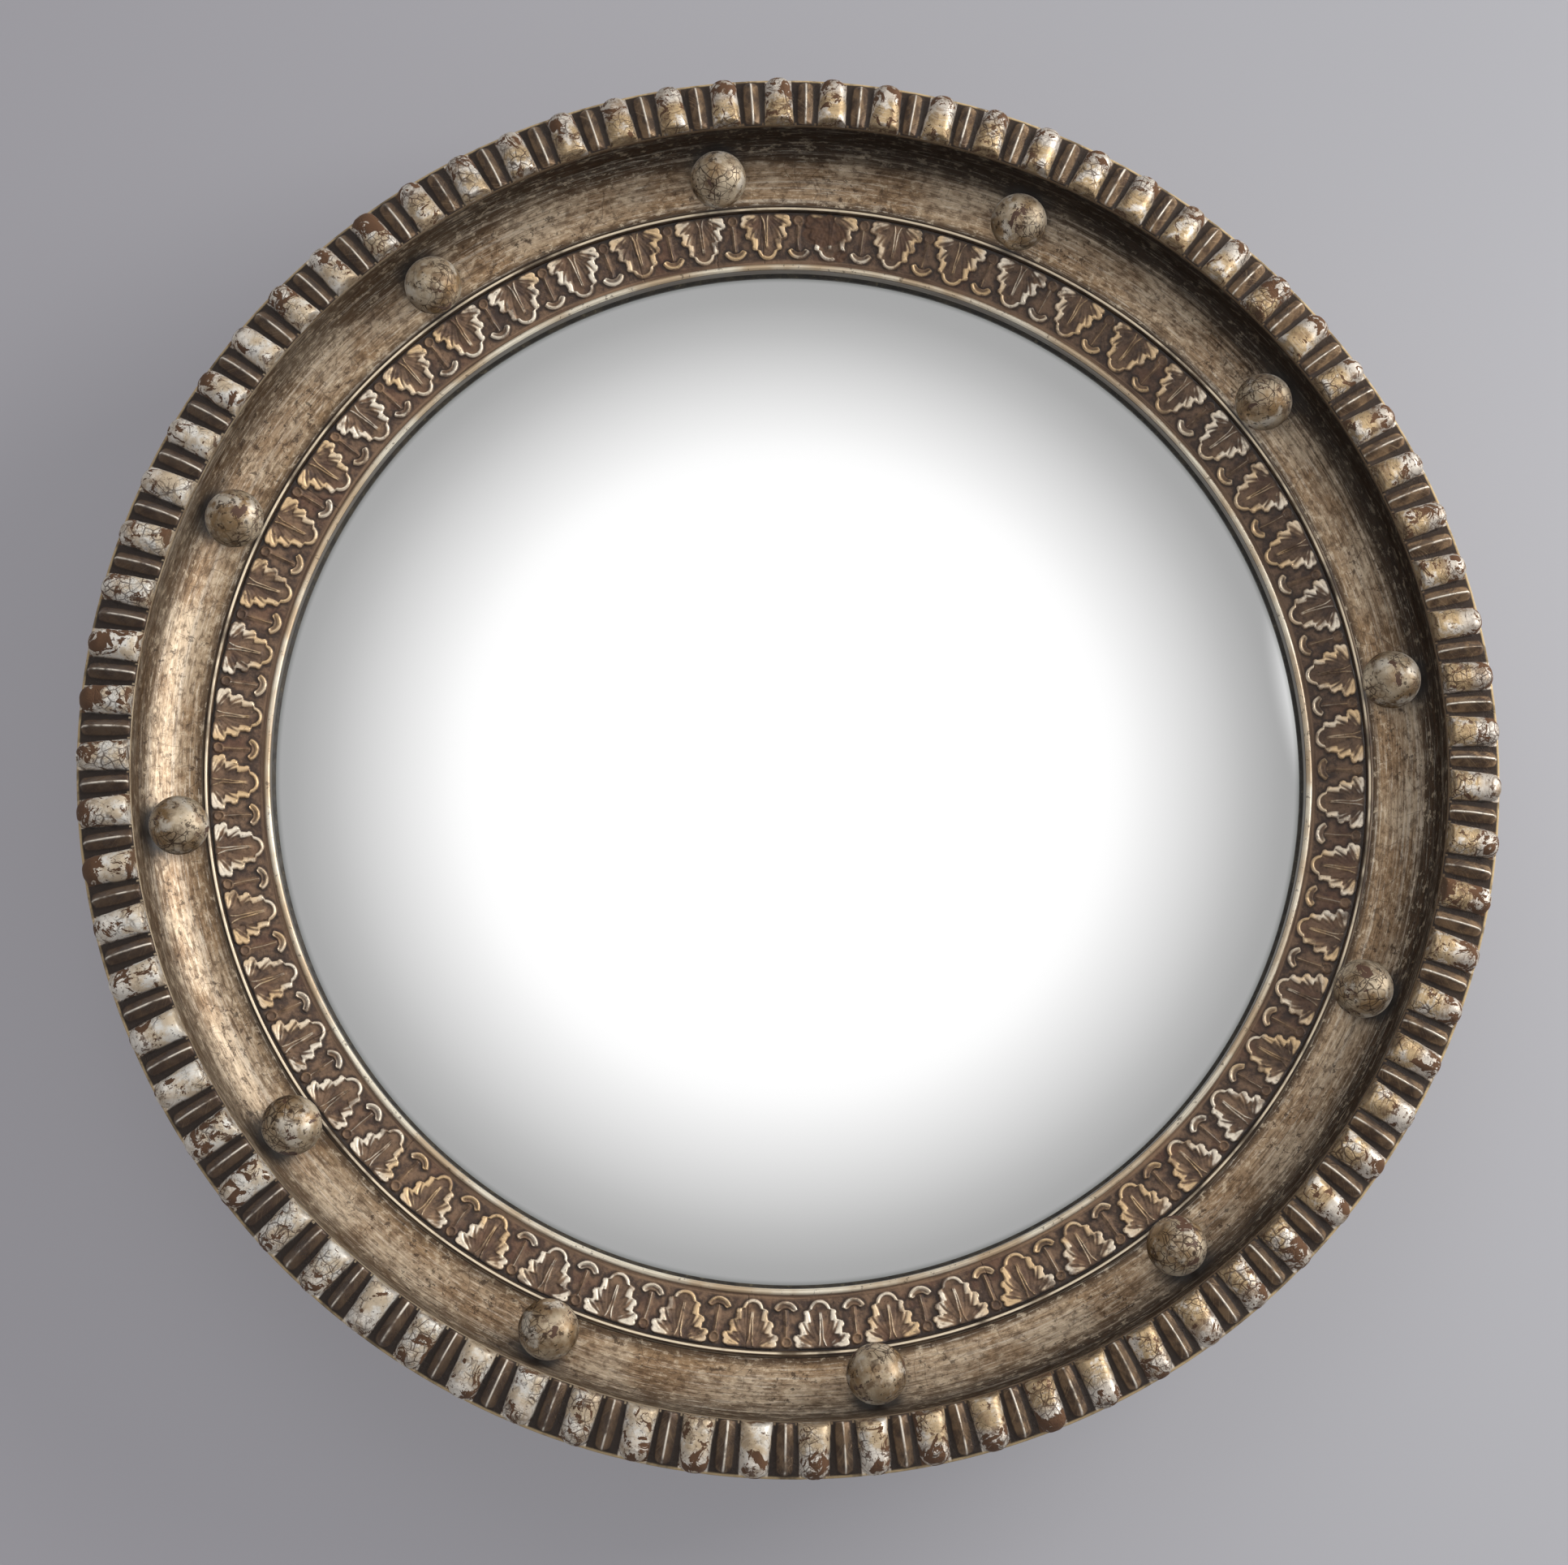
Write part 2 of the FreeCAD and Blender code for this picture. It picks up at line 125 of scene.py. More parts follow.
def new_mesh(name, points, faces, sharp=None, smooth=True):
    """An object from rows of points in metres; its edges are sharp where they turn by more degrees than given."""
    mesh = bpy.data.meshes.new(name)
    faces = faces.tolist() if isinstance(faces, np.ndarray) else faces
    mesh.from_pydata(np.reshape(points, (-1, 3)).tolist(), [], faces)
    mesh.update()
    if smooth:
        mesh.polygons.foreach_set("use_smooth", [True] * len(mesh.polygons))
    if sharp:
        mesh.set_sharp_from_angle(angle=math.radians(sharp))
    piece = bpy.data.objects.new(name, mesh)
    bpy.context.scene.collection.objects.link(piece)
    return piece


def put_value(piece, name, values):
    """Give each point a number that the materials read by name."""
    layer = piece.data.attributes.new(name, "FLOAT", "POINT")
    layer.data.foreach_set("value", np.asarray(values, np.float32).ravel())


def put_skin_values(piece, shape, full_behind, values):
    """Numbers of a carved skin; the three rows that close it behind have 0, and 1 in the one value named for it."""
    for name, value in values.items():
        behind = np.full((3, shape[1]), float(name == full_behind))
        put_value(piece, name, np.concatenate([value * np.ones(shape), behind]))


def ring_faces(rows, columns, closed):
    """Quads of a grid that is closed round its columns, and closed over its rows too where asked."""
    last = rows if closed else rows - 1
    i, j = np.meshgrid(np.arange(last), np.arange(columns), indexing="ij")
    above, right = (i + 1) % rows, (j + 1) % columns
    quads = np.stack([i * columns + j, above * columns + j, above * columns + right, i * columns + right], -1)
    return quads.reshape(-1, 4)


def capped_faces(rows, columns):
    """Quads of a tube and the two faces that close its ends."""
    first, last = list(range(columns)), list(range((rows - 1) * columns, rows * columns))
    return ring_faces(rows, columns, False).tolist() + [first, last[::-1]]


def corner_cut(profile, radius, steps=3):
    """A profile with each corner rounded; a point may carry its own radius as a third number."""
    out = []
    count = len(profile)
    for k in range(count):
        before, here, after = (np.array(profile[m % count][:2], float) for m in (k - 1, k, k + 1))
        size = profile[k][2] if len(profile[k]) > 2 else radius
        a, b = before - here, after - here
        length_a, length_b = np.linalg.norm(a), np.linalg.norm(b)
        size = min(size, length_a * 0.45, length_b * 0.45)
        if size < 1e-4:
            out.append(tuple(here))
            continue
        a, b = a / length_a * size, b / length_b * size
        for t in np.linspace(0, 1, steps + 1):
            out.append(tuple((1 - t)**2 * (here + a) + 2 * t * (1 - t) * here + t**2 * (here + b)))
    return out


def lathe(name, profile, segments=720, sharp=30):
    """Solid of revolution with a closed profile of (radius, depth) corners, clockwise with depth up."""
    radius, depth = (np.array([corner[k] for corner in profile])[:, None] for k in (0, 1))
    angle = np.linspace(0, TURN, segments, endpoint=False)[None, :]
    return new_mesh(name, upright(radius, angle, depth), ring_faces(len(profile), segments, True), sharp)


def arc(centre, radius, start, end, steps):
    angles = np.radians(np.linspace(start, end, steps))
    return [(centre[0] + radius * math.cos(a), centre[1] + radius * math.sin(a)) for a in angles]


# ---------------------------------------------------------------- gadroon rim

def on_slope(along, height):
    """A place over the rim's sloping core, from the fillet outwards, as radius and depth."""
    return (RIM_START + along * math.cos(CORE_SLOPE) + height * math.sin(CORE_SLOPE),
            FILLET_TOP - along * math.sin(CORE_SLOPE) + height * math.cos(CORE_SLOPE))


def core_rows():
    """Places and outward directions along the core: over the slope, round its edge and down its side."""
    turn = math.pi / 2 - CORE_SLOPE
    flat_end = (CORE_OUT - RIM_START) / math.cos(CORE_SLOPE) - CORE_EDGE * math.tan(turn / 2)
    flat = [0, .1, .25, .45, .7, 1.0, 1.4, *np.linspace(2, 12.1, 20), *np.linspace(12.6, flat_end, 9)]
    rows = [(along, 0.0, 0.0, 1.0) for along in flat]
    for angle in np.linspace(0, turn, 14)[1:]:
        sin, cos = math.sin(angle), math.cos(angle)
        rows.append((flat_end + CORE_EDGE * sin, CORE_EDGE * (cos - 1), sin, cos))
    along, height, out, up = rows[-1]
    for down in (0.3, 0.7, 1.2, 1.8, 2.5, 3.4, 4.6):
        rows.append((along + down * math.cos(turn), height - down * math.sin(turn), out, up))
    return [column[:, None] for column in np.array(rows).T], flat_end


def dome_reach(along, height, out, up, section):
    """How far a ray from the core runs inside a lobe's domed end, whose section there is as high as given."""
    reach = np.zeros(np.broadcast_shapes(along.shape, section.shape))
    for squash, below in ((1.0, False), (DOME_UNDERCUT, True)):
        a = out**2 + (squash * up)**2
        b = (along - DOME_START) * out + squash**2 * height * up
        c = (along - DOME_START)**2 + (squash * height)**2 - section**2
        root = (-b + np.sqrt(np.maximum(b * b - a * c, 0))) / a
        ends_below = height + root * up < 0
        reach = np.where((c < 0) & (ends_below == below), root, reach)
    return reach


def gadroon_rim():
    """The carved rim as one skin: lobes square at the fillet and domed over the edge, a reed between every two."""
    per_pitch = 64
    half_pitch = math.pi / LOBES
    share = np.linspace(-1, 1, per_pitch, endpoint=False)
    across = share - 0.09 * np.sin(TURN * share)
    angles = (LOBE_START + np.arange(LOBES)[:, None] * 2 * half_pitch + across * half_pitch).ravel()[None, :]
    index = np.repeat(np.arange(LOBES), per_pitch)
    offset = np.tile(across * half_pitch, LOBES)[None, :]
    rng = np.random.default_rng(7)
    (along, height, out, up), flat_end = core_rows()
    flat = (up == 1.0) & (height == 0.0)
    radius = on_slope(along, height)[0]
    # no two lobes are quite as wide, as high, as straight or as long
    wide, tall, sway, long = (rng.normal(mean, spread, LOBES)[index][None, :]
                              for mean, spread in ((1, 0.02), (1, 0.015), (0, 0.12), (0, 0.12)))
    x = offset * radius - sway * rise(2, 14, along)
    grain = grid_noise(angles * 220, along, 0.55, 3)
    # lobe
    half = (4.95 - 0.3 * rise(1, 14, along)) * wide
    crest = (4.95 - 0.15 * rise(0, 11, along)) * np.sqrt(1 - (np.clip(4.0 - along, 0, 4) / 6.2)**2) * tall
    section = np.clip(1 - np.abs(x / half)**2.6, 0, 1)**0.5
    lobe = crest * section
    end = np.clip((0.9 - along) / 0.9, 0, 1)
    past_dome = np.sqrt(np.maximum(lobe**2 - (along - DOME_START)**2, 0))
    on_flat = np.where(along < DOME_START, lobe * np.sqrt(1 - end**3), past_dome)
    lobe = np.where(flat, on_flat, dome_reach(along, height, out, up, np.minimum(lobe, 4.9 + 0.3 * long)))
    lobe = lobe + 0.06 * grain * rise(0.3, 2, lobe)
    # reed, with hollow flanks
    gap = half_pitch * radius - np.abs(offset * radius + 0.25 * sway)
    reed_high = 3.9 * np.sqrt(np.clip(1 - ((along - 8.0) / 8.9)**2, 0, 1)) * rise(-0.1, 0.5, along)
    reed_high = np.where(flat, reed_high * (1 - 0.9 * rise(flat_end - 2.4, flat_end, along)), 0.15 * (1 - out))
    reed = reed_high * (1 + 0.05 * grain) * np.clip(1 - np.maximum(gap - 0.2, 0) / 3.1, 0, 1)**1.55
    raised = np.maximum(lobe, reed)
    rim_radius, rim_depth = on_slope(along + out * raised, height + up * raised)
    skin = upright(np.minimum(rim_radius, RIM_OUT + 0.02), angles, np.minimum(rim_depth, 64.5))
    behind = np.array([(CORE_OUT, RIM_SEAT), (RIM_START, RIM_SEAT), (RIM_START, FILLET_TOP - 0.6)])
    points = np.concatenate([skin, upright(behind[:, :1], angles, behind[:, 1:])])
    piece = new_mesh("gadroon_skin", points, ring_faces(len(points), angles.size, True), 62)
    on_lobe = (lobe >= reed) & (np.abs(x) < half)
    below = -height
    put_skin_values(piece, x.shape, "side", {
        "lobe": np.where(on_lobe, rise(0.0, 0.35, section), 0),
        # painted shade, with some dirt, in the grooves and along the lobes' edges
        "cavity_dirt_and_shade": np.where(on_lobe, fall(0.1, 0.55, section), fall(0.15, 1.0, reed)),
        # painted shade, with some dirt, at the lobes' inner ends by the fillet
        "inner_end_dirt_and_shade": fall(0.2, 1.7, along) * np.where(on_lobe, 0.75, 0.8),
        # the reeds' crests, for a painted highlight with rubbed wear
        "ridge": np.clip(1 - np.maximum(gap - 0.1, 0) / 0.32, 0, 1) * (reed > lobe) * rise(0.5, 1.2, reed_high),
        "edge": np.where(flat, rise(flat_end - 0.5, flat_end, along), fall(0.75, 0.995, out)) * fall(0.1, 0.5, lobe),
        "outer": rise(6.0, 12.0, along) * (1 - rise(0.995, 1.0, out) * rise(0.5, 3.0, below)),
        "side": rise(0.98, 0.995, out) * rise(0.4, 1.2, below) * fall(0.05, 0.4, lobe),
        "shade": rng.normal(0, 1, LOBES)[index][None, :],
        # which side faces the lamp, for painted light and shade
        "lit": facing_lamp(angles),
    })
    return piece


# ---------------------------------------------------------------- leaf band

# Puffed fronds along a leaf's edge as (across, from the lip, radius), and the leaf's half width from the lip down
TEETH = [(7.9, 3.7, 1.2), (7.4, 1.9, 1.3), (6.3, 7.5, 1.15), (4.5, 11.6, 0.95)]
LEAF_HALF = ([0.0, 1.4, 3.0, 4.6, 5.1, 7.0, 8.5, 9.1, 11.0, 12.3, 13.0, 14.0, 15.5],
             [7.2, 8.3, 8.6, 8.8, 6.8, 6.9, 7.1, 5.4, 5.2, 5.0, 3.2, 0.4, -2.0])
# Grooves that fan out from a leaf's foot, as angle and width
GROOVES = [(0.2, 0.34), (0.5, 0.42), (0.88, 0.4), (0.345, 0.22), (0.68, 0.24), (1.06, 0.22)]
HAIR_CRACKS = (85.8, 91.0, 99.6, 143.5, 190.2, 203.6, 218.4, 231.0, 258.0, 283.0, 322.0, 340.5)


def leaf_height(u, v):
    """Relief of one leaf in millimetres, u across it, v from the lip; also its worn places and its outline."""
    a = np.abs(u)
    teeth = np.maximum.reduce([r - np.hypot(a - cu, v - cv) for cu, cv, r in TEETH])
    body = (np.interp(v, *LEAF_HALF) - a) * 0.85
    tip = 3.55 - np.hypot(a * 0.97, v - 12.25)
    inside = np.minimum(np.maximum.reduce([teeth, body, tip]), v - 0.2)
    within = np.maximum(inside, 0)
    edge = rise(0.0, 0.38, inside)
    reach = np.hypot(a, v + 1.4)
    bent = np.arctan2(a, v + 1.4) - 0.012 * (reach - 8) + 0.03 * np.sin(reach * 0.6)
    grooves = np.zeros_like(u)
    ribs = np.zeros_like(u)
    inner = rise(0.5, 1.7, within)
    for at, width in GROOVES:
        cut = hump((bent - at) * reach, 0, width) * rise(1.5, 5.0, reach)
        grooves = np.maximum(grooves, cut * (0.05 + 0.95 * inner if width > 0.3 else 0.45 * inner))
        ribs = np.maximum(ribs, hump((bent - at - 0.085) * reach, 0, 0.24) * rise(3.0, 6.0, reach))
    # cupped: its border stands up and rolls over, its middle lies low on both sides of a double vein
    at_tip = rise(11.7, 12.9, v) * fall(3.1, 3.9, a)
    thin = fall(0.85, 1.35, within) * at_tip
    puff = fall(1.7, 3.8, within) * (1 - at_tip) * rise(2.2, 4.2, a)
    vein_gap = 0.24 + 0.035 * np.clip(11 - v, 0, 9) + 1.2 * np.clip((4.0 - v) / 4.0, 0, 1)**2
    vein = hump(a, vein_gap, 0.22) * fall(11.0, 12.6, v) * rise(0.6, 1.4, v)
    height = edge * (0.55 + 0.75 * puff + 0.75 * thin + 0.5 * vein - 0.5 * grooves * (0.4 + 0.6 * puff))
    height = height + edge * 0.3 * hump(a, 0, 1.4) * (1 - at_tip)
    rim = puff * (0.35 + 0.65 * fall(1.1, 3.0, within)) * (1 - 0.75 * grooves)
    worn = edge * (rim + 1.15 * thin + 0.8 * vein + 0.26 * ribs * (1 - grooves) * (1 - at_tip))
    return height, np.clip(worn, 0, 1) * rise(0.5, 1.6, v), inside


def dart_height(u, v):
    """Relief of one dart: an eye by the lip, a thin stem and a curled foot level with the tips of the leaves."""
    a = np.abs(u)
    eye_at = np.hypot(u, v - 2.7)
    eye = 0.55 * hump(eye_at, 1.45, 0.32) + 0.35 * fall(1.3, 1.9, eye_at)
    stem = (0.35 * fall(0.5, 1.1, a) + 0.42 * hump(a, 0, 0.2)) * rise(3.9, 4.6, v) * fall(12.4, 13.0, v)
    top = 12.95 - 1.05 * hump(a, 2.45, 1.15)
    outer = 4.15 - np.hypot(u, v - 11.45)
    moon = np.minimum(outer, (v - top) * 0.9)
    shape = rise(0.0, 0.4, moon)
    lip = shape * np.maximum(fall(0.75, 1.35, outer), 0.7 * hump(a, 2.6, 0.9) * fall(0.3, 0.9, moon))
    foot = shape * (0.75 + 0.65 * lip - 0.25 * rise(0.4, 1.0, moon))
    worn = 0.95 * lip + 0.3 * shape + 0.55 * hump(a, 0, 0.22) * (stem > 0.4) + 0.25 * hump(eye_at, 1.45, 0.25)
    return np.maximum(np.maximum(eye, stem), foot), np.clip(worn, 0, 1), moon


def leaf_band():
    """The moulded band as one skin over its sloping seat."""
    per_pitch, rows = 88, 72
    columns = LEAVES * per_pitch
    half_pitch = math.pi / LEAVES
    width = LIP_IN - LEAF_IN
    angles = (LEAF_START - half_pitch + np.arange(columns) * (TURN / columns))[None, :]
    index = np.arange(columns) // per_pitch
    local = (np.arange(columns) % per_pitch) / per_pitch * 2 * half_pitch - half_pitch
    radius = np.linspace(LIP_IN, LEAF_IN, rows)[:, None]
    v = LIP_IN - radius
    ground = 33.8 - 4.0 * v / width
    rng = np.random.default_rng(21)

    def noise(scale, seed):
        return grid_noise(angles * LEAF_MIDDLE, v, scale, seed)

    def from_angle(degrees):
        return (angles - math.radians(degrees) + math.pi) % TURN - math.pi

    warp = 0.22 * noise(0.23, 1)
    size = rng.normal(1, 0.02, LEAVES + 1)
    lean = rng.normal(0, 0.018, LEAVES + 1)
    along = v + 0.2 * noise(0.23, 2)
    u = local * radius * (182.5 / radius)**0.55 + warp
    leaf, leaf_worn, leaf_in = leaf_height(u / size[index] + lean[index] * (along - 8), along)
    # a dart stands half a pitch from its leaf and leans with the nearest one
    side = np.where(local >= 0, local - half_pitch, local + half_pitch)
    nearest = np.where(local >= 0, index + 1, index) % LEAVES
    dart, dart_worn, dart_in = dart_height(side * radius + warp * 0.8 + lean[nearest] * 1.5 * (along - 8), along)
    height = np.maximum(leaf, dart)
    worn = np.where(leaf >= dart, leaf_worn, dart_worn)
    # one broken leaf, chipped down to the bole, and a few hair cracks across the band
    chip_arc = (angles - math.radians(79.2)) * LEAF_MIDDLE
    chip_noise = noise(0.42, 9)
    chip = rise(0.0, 0.35, 1 - np.hypot(chip_arc / 7.6, (v - 5.2) / 5.8) + 0.3 * chip_noise)
    small_chip = 1 - np.hypot((chip_arc + 6.5) / 3.2, (v - 13.4) / 2.2) + 0.25 * chip_noise
    chip = np.maximum(chip, rise(0, 0.3, small_chip))
    height = height * (1 - 0.62 * chip) + 0.1 * chip * noise(1.3, 5)
    crack = np.zeros_like(height)
    for at in HAIR_CRACKS:
        crack = np.maximum(crack, hump(from_angle(at) * LEAF_MIDDLE + 0.35 * noise(0.3, int(at)), 0, 0.15))
    height = height - 0.35 * crack
    rough = noise(1.1, 11) + 0.6 * noise(2.3, 12)
    height = height + 0.07 * rough * np.where(height < 0.35, 1.0, 0.45)
    top = ground + np.clip(height, -0.35, 2.4) * rise(0, 0.5, v) * rise(0, 0.6, width - v)
    behind = np.array([(LEAF_IN, 29.3), (LEAF_IN, 28.8), (LIP_IN, 32.8)])
    points = np.concatenate([upright(radius, angles, top), upright(behind[:, :1], angles, behind[:, 1:])])
    piece = new_mesh("leaf_skin", points, ring_faces(len(points), columns, True)[:, ::-1], 70)
    near = rise(-1.6, 0.0, np.maximum(leaf_in, dart_in))
    # painted shade low in the relief and next to its outlines
    relief_shade = np.clip(1 - height / 1.15, 0, 1) * (0.72 + 0.28 * near) + 0.25 * (1 - worn) * rise(0.3, 1, height)
    put_skin_values(piece, height.shape, "cavity_dirt_and_shade", {
        "cavity_dirt_and_shade": np.clip(np.maximum(relief_shade, 0.9 * crack), 0, 1),
        "wear": worn * (1 - chip),
        "chip": chip,
        # painted shadow just under the lip
        "lip_shadow": fall(0.3, 1.7, v),
        "inner": rise(15.2, 16.2, v),
    })
    return piece


# ---------------------------------------------------------------- turned pieces

def ball_place(number):
    """A ball's turn round the mirror, its centre, and the direction from there into the cove."""
    at = math.radians(90 - 360 / BALLS * (number - 1))
    x, z = math.cos(at), math.sin(at)
    return at, np.array([BALL_RING * x, -BALL_DEPTH, BALL_RING * z]), np.array([0.725 * x, 0.689, 0.725 * z])


def turned_frame():
    """Both front layers as one skin: rebates, rounded lip, cove, bright fillet, the rim's seat and the hollow side."""
    segments = 1200
    profile = [(BEAD_IN + 0.3, 26.4), (BEAD_IN + 0.3, 28.8), (LEAF_IN, 28.8), (LIP_IN, 32.8), (LIP_IN, 33.9)]
    profile += arc((LIP_IN + 1.1, 34.75), 1.1, 178, 0, 11)
    profile += [(LIP_OUT + 0.02, 34.3), (LIP_OUT + 0.02, 33.75)]
    profile += arc((LIP_OUT, COVE_CENTRE), COVE_RADIUS, 270.6, 360, 46)
    fillet = [(211.0, 58.6), (211.05, 59.0), (211.22, 59.24), (211.5, 59.32), (212.2, 59.3)]
    profile += [(211.0, 54.0), (211.0, 57.0)] + fillet + [(212.2, 48.0)]
    profile += [(227.1, 48.0), (227.35, 47.9), (227.4, 47.6), (227.4, 45.3), (227.3, 45.05), (227.0, 45.0)]
    profile += [(222.0 + 5.0 * t - 3.1 * math.sin(math.pi * t) * (0.55 + 0.3 * t), 21 + 24 * t)
                for t in np.linspace(0.97, 0.02, 18)]
    profile += [(222.0, 20.6), (222.0, 18.0), (176.5, 18.0), (176.5, 26.4)]
    piece = lathe("turned_frame", profile, segments, 34)
    radius, depth = (np.repeat([corner[k] for corner in profile], segments) for k in (0, 1))
    angle = np.tile(np.linspace(0, TURN, segments, endpoint=False), len(profile))
    points = upright(radius, angle, depth) / MM
    # painted shadow round each ball, where it meets the cove
    dark = np.zeros(len(radius))
    for number in range(1, BALLS + 1):
        clear = np.linalg.norm(points - ball_place(number)[1], axis=1) - BALL_RADIUS
        dark = np.maximum(dark, np.exp(-np.clip(clear - 0.2, 0, None) / 3.0))
    put_value(piece, "cavity_dirt_and_shade", dark)
    # which side faces the lamp, for painted light and shade
    put_value(piece, "lit", facing_lamp(angle))
    return piece


def ball(number):
    """A turned ball, a little uneven; darker towards the cove with painted shade, where it was never rubbed."""
    _, centre, seat = ball_place(number)
    rows, columns = 48, 96
    theta = np.linspace(0.004, math.pi - 0.004, rows)[:, None]
    phi = np.linspace(0, TURN, columns, endpoint=False)[None, :]
    direction = np.stack([np.sin(theta) * np.cos(phi), np.sin(theta) * np.sin(phi), np.cos(theta) + 0 * phi], -1)
    flat = direction.reshape(-1, 3)
    uneven = 0.05 * value_noise(flat + number * 3.1, 2.1, 40 + number) - 0.05
    points = (centre + flat * (BALL_RADIUS + uneven)[:, None]) * MM
    piece = new_mesh("turned_ball_%02d" % number, points, capped_faces(rows, columns))
    # painted shade on the side that sits in the cove
    put_value(piece, "cavity_dirt_and_shade", rise(0.35, 1.0, flat @ seat))
    put_value(piece, "wear", rise(-0.2, 0.9, -(flat @ seat)))
    return piece


def gesso_smear(number):
    """A collar of gesso where a ball meets the cove; the lowest ball's has run into a small drip."""
    lowest = 7
    at, centre, out = ball_place(number)
    rng = np.random.default_rng(60 + number)
    side = np.array([-math.sin(at), 0, math.cos(at)])
    up = np.cross(out, side)
    rows, columns = 10, 40
    phi = np.linspace(0, TURN, columns, endpoint=False)
    round_about = side * np.cos(phi)[:, None] + up * np.sin(phi)[:, None]
    spread = 1 + 0.16 * np.array([math.sin(3 * p + rng.uniform(0, 6)) for p in phi])
    if number == lowest:
        spread = spread + 0.75 * hump(phi, math.pi / 2 - 0.2, 0.22)
    points = []
    for t in np.linspace(0, 1, rows):
        reach = (3.6 - 2.4 * t) * (1 + (spread - 1) * (1 - t))
        lift = 0.3 + BALL_RADIUS - 0.15 - 1.25 * t - 0.1 * math.sin(math.pi * t)
        points.append(centre + out * lift + round_about * reach[:, None])
    return new_mesh("gesso_%02d" % number, np.array(points) * MM, capped_faces(rows, columns))


def glass_dome():
    """The convex glass with a ground edge."""
    bulge, centre, thick = 640.0, -592.69, 3.0
    radii = np.linspace(174.6, 0.0, 70)
    front = [(r, centre + math.sqrt(bulge**2 - r**2)) for r in radii[::-1]]
    back = [(r, centre + math.sqrt((bulge - thick)**2 - r**2)) for r in radii]
    front[0], back[-1] = (0.02, front[0][1]), (0.02, back[-1][1])
    edge = [(175.0, front[-1][1] - 0.35), (175.0, back[0][1] + 0.3)]
    return lathe("glass_dome", front + edge + back, 360, 40)


# ---------------------------------------------------------------- fittings of the back

def draw_in(outline, by, middle):
    """An outline pulled towards a middle by a length."""
    reach = outline - middle
    return outline - reach / np.linalg.norm(reach, axis=1)[:, None] * by


def stadium(length, width, count):
    """Outline of a strip with round ends, its hole's centre at 0 and the strip running towards -X, by angle."""
    radius, far = width / 2, -(length - width)
    points = []
    for a in np.linspace(0, TURN, count, endpoint=False):
        direction = np.array([math.cos(a), math.sin(a)])
        if direction[0] >= 0:
            points.append(direction * radius)
            continue
        to_side = radius / max(abs(direction[1]), 1e-9)
        if direction[0] * to_side >= far:
            points.append(direction * to_side)
            continue
        b = direction[0] * far
        points.append(direction * (b + math.sqrt(max(b * b - far * far + radius * radius, 0))))
    return np.array(points)


def turn_button(index):
    """A flat brass strip with round ends, turned about its hole over the ring."""
    count = 160
    outer = stadium(27.0, 9.0, count)
    phi = np.linspace(0, TURN, count, endpoint=False)
    hole = 1.8 * np.stack([np.cos(phi), np.sin(phi)], 1)
    back, front = 4.3, 5.8
    levels = [(hole, 0, front), (outer, 0.25, front), (outer, 0, front - 0.25), (outer, 0, back + 0.4),
              (outer, 0.16, back + 0.13), (outer, 0.45, back), (hole, -0.2, back), (hole, 0, back + 0.2)]
    turn = math.radians(60 * index)
    cos, sin = math.cos(turn), math.sin(turn)
    points = []
    for outline, by, depth in levels:
        x, y = draw_in(outline, by, outline.mean(0)).T
        x = x + BUTTON_RING
        points.append(np.stack([x * cos - y * sin, np.full(count, -depth), x * sin + y * cos], -1) * MM)
    return new_mesh("brass_button_%d" % (index + 1), points, ring_faces(len(levels), count, True), 32)


def screw_head(name, x, z, top, radius, height, slot_angle, slot_width=0.9, slot_depth=0.7):
    """A domed screw head with a slot, seen from the back: top is its depth nearest the wall."""
    rows, columns = 26, 72
    share = np.concatenate([np.linspace(0, 0.92, rows - 6), [0.955, 0.98, 0.995, 1.0, 1.0, 0.98]])[:, None]
    phi = np.linspace(0, TURN, columns, endpoint=False)
    px, pz = share * radius * np.cos(phi), share * radius * np.sin(phi)
    across = -px * math.sin(slot_angle) + pz * math.cos(slot_angle)
    depth = top + 0.55 * share**2.2 + slot_depth * fall(slot_width / 2 - 0.12, slot_width / 2 + 0.06, np.abs(across))
    depth[-2:] = top + height
    depth[-3] = np.minimum(depth[-3] + 0.1, top + height)
    px[0], pz[0] = 1e-3 * np.cos(phi), 1e-3 * np.sin(phi)
    points = np.stack([px + x, -depth, pz + z], -1) * MM
    return new_mesh(name, points, [face[::-1] for face in capped_faces(rows, columns)], 50)


def strap():
    """Steel strap folded round the ring's leg, its two layers pressed together, with burrless rounded edges."""
    count = 120
    axis = np.array([RING_AXIS, RING_DEPTH])
    outline = [(188.0, 5.03), (188.0, 4.3), (188.15, 4.0), (203.3, 4.0), *arc(axis, 2.3, -172.6, 90, 40),
               (188.15, 6.0), (188.0, 5.8), (188.0, 5.1), (188.9, 5.06)]
    outline = np.array(outline)
    lengths = np.concatenate([[0], np.cumsum(np.linalg.norm(np.diff(outline, axis=0), axis=1))])
    at = np.linspace(0, lengths[-1], count, endpoint=False)
    outer = np.stack([np.interp(at, lengths, outline[:, k]) for k in (0, 1)], 1)
    phi = np.arctan2(outer[:, 1] - axis[1], outer[:, 0] - axis[0])
    inner = axis + 1.3 * np.stack([np.cos(phi), np.sin(phi)], 1)
    rows = []
    for loop, by, place_at in ((inner, 0, -5.9), (outer, 0.12, -6.0), (outer, 0, -5.85),
                               (outer, 0, 5.85), (outer, 0.12, 6.0), (inner, 0, 5.9)):
        z, depth = draw_in(loop, by, outer.mean(0)).T
        rows.append(np.stack([np.full(count, place_at), -depth, z], 1) * MM)
    return new_mesh("folded_strap", rows, ring_faces(len(rows), count, True)[:, ::-1], 34)


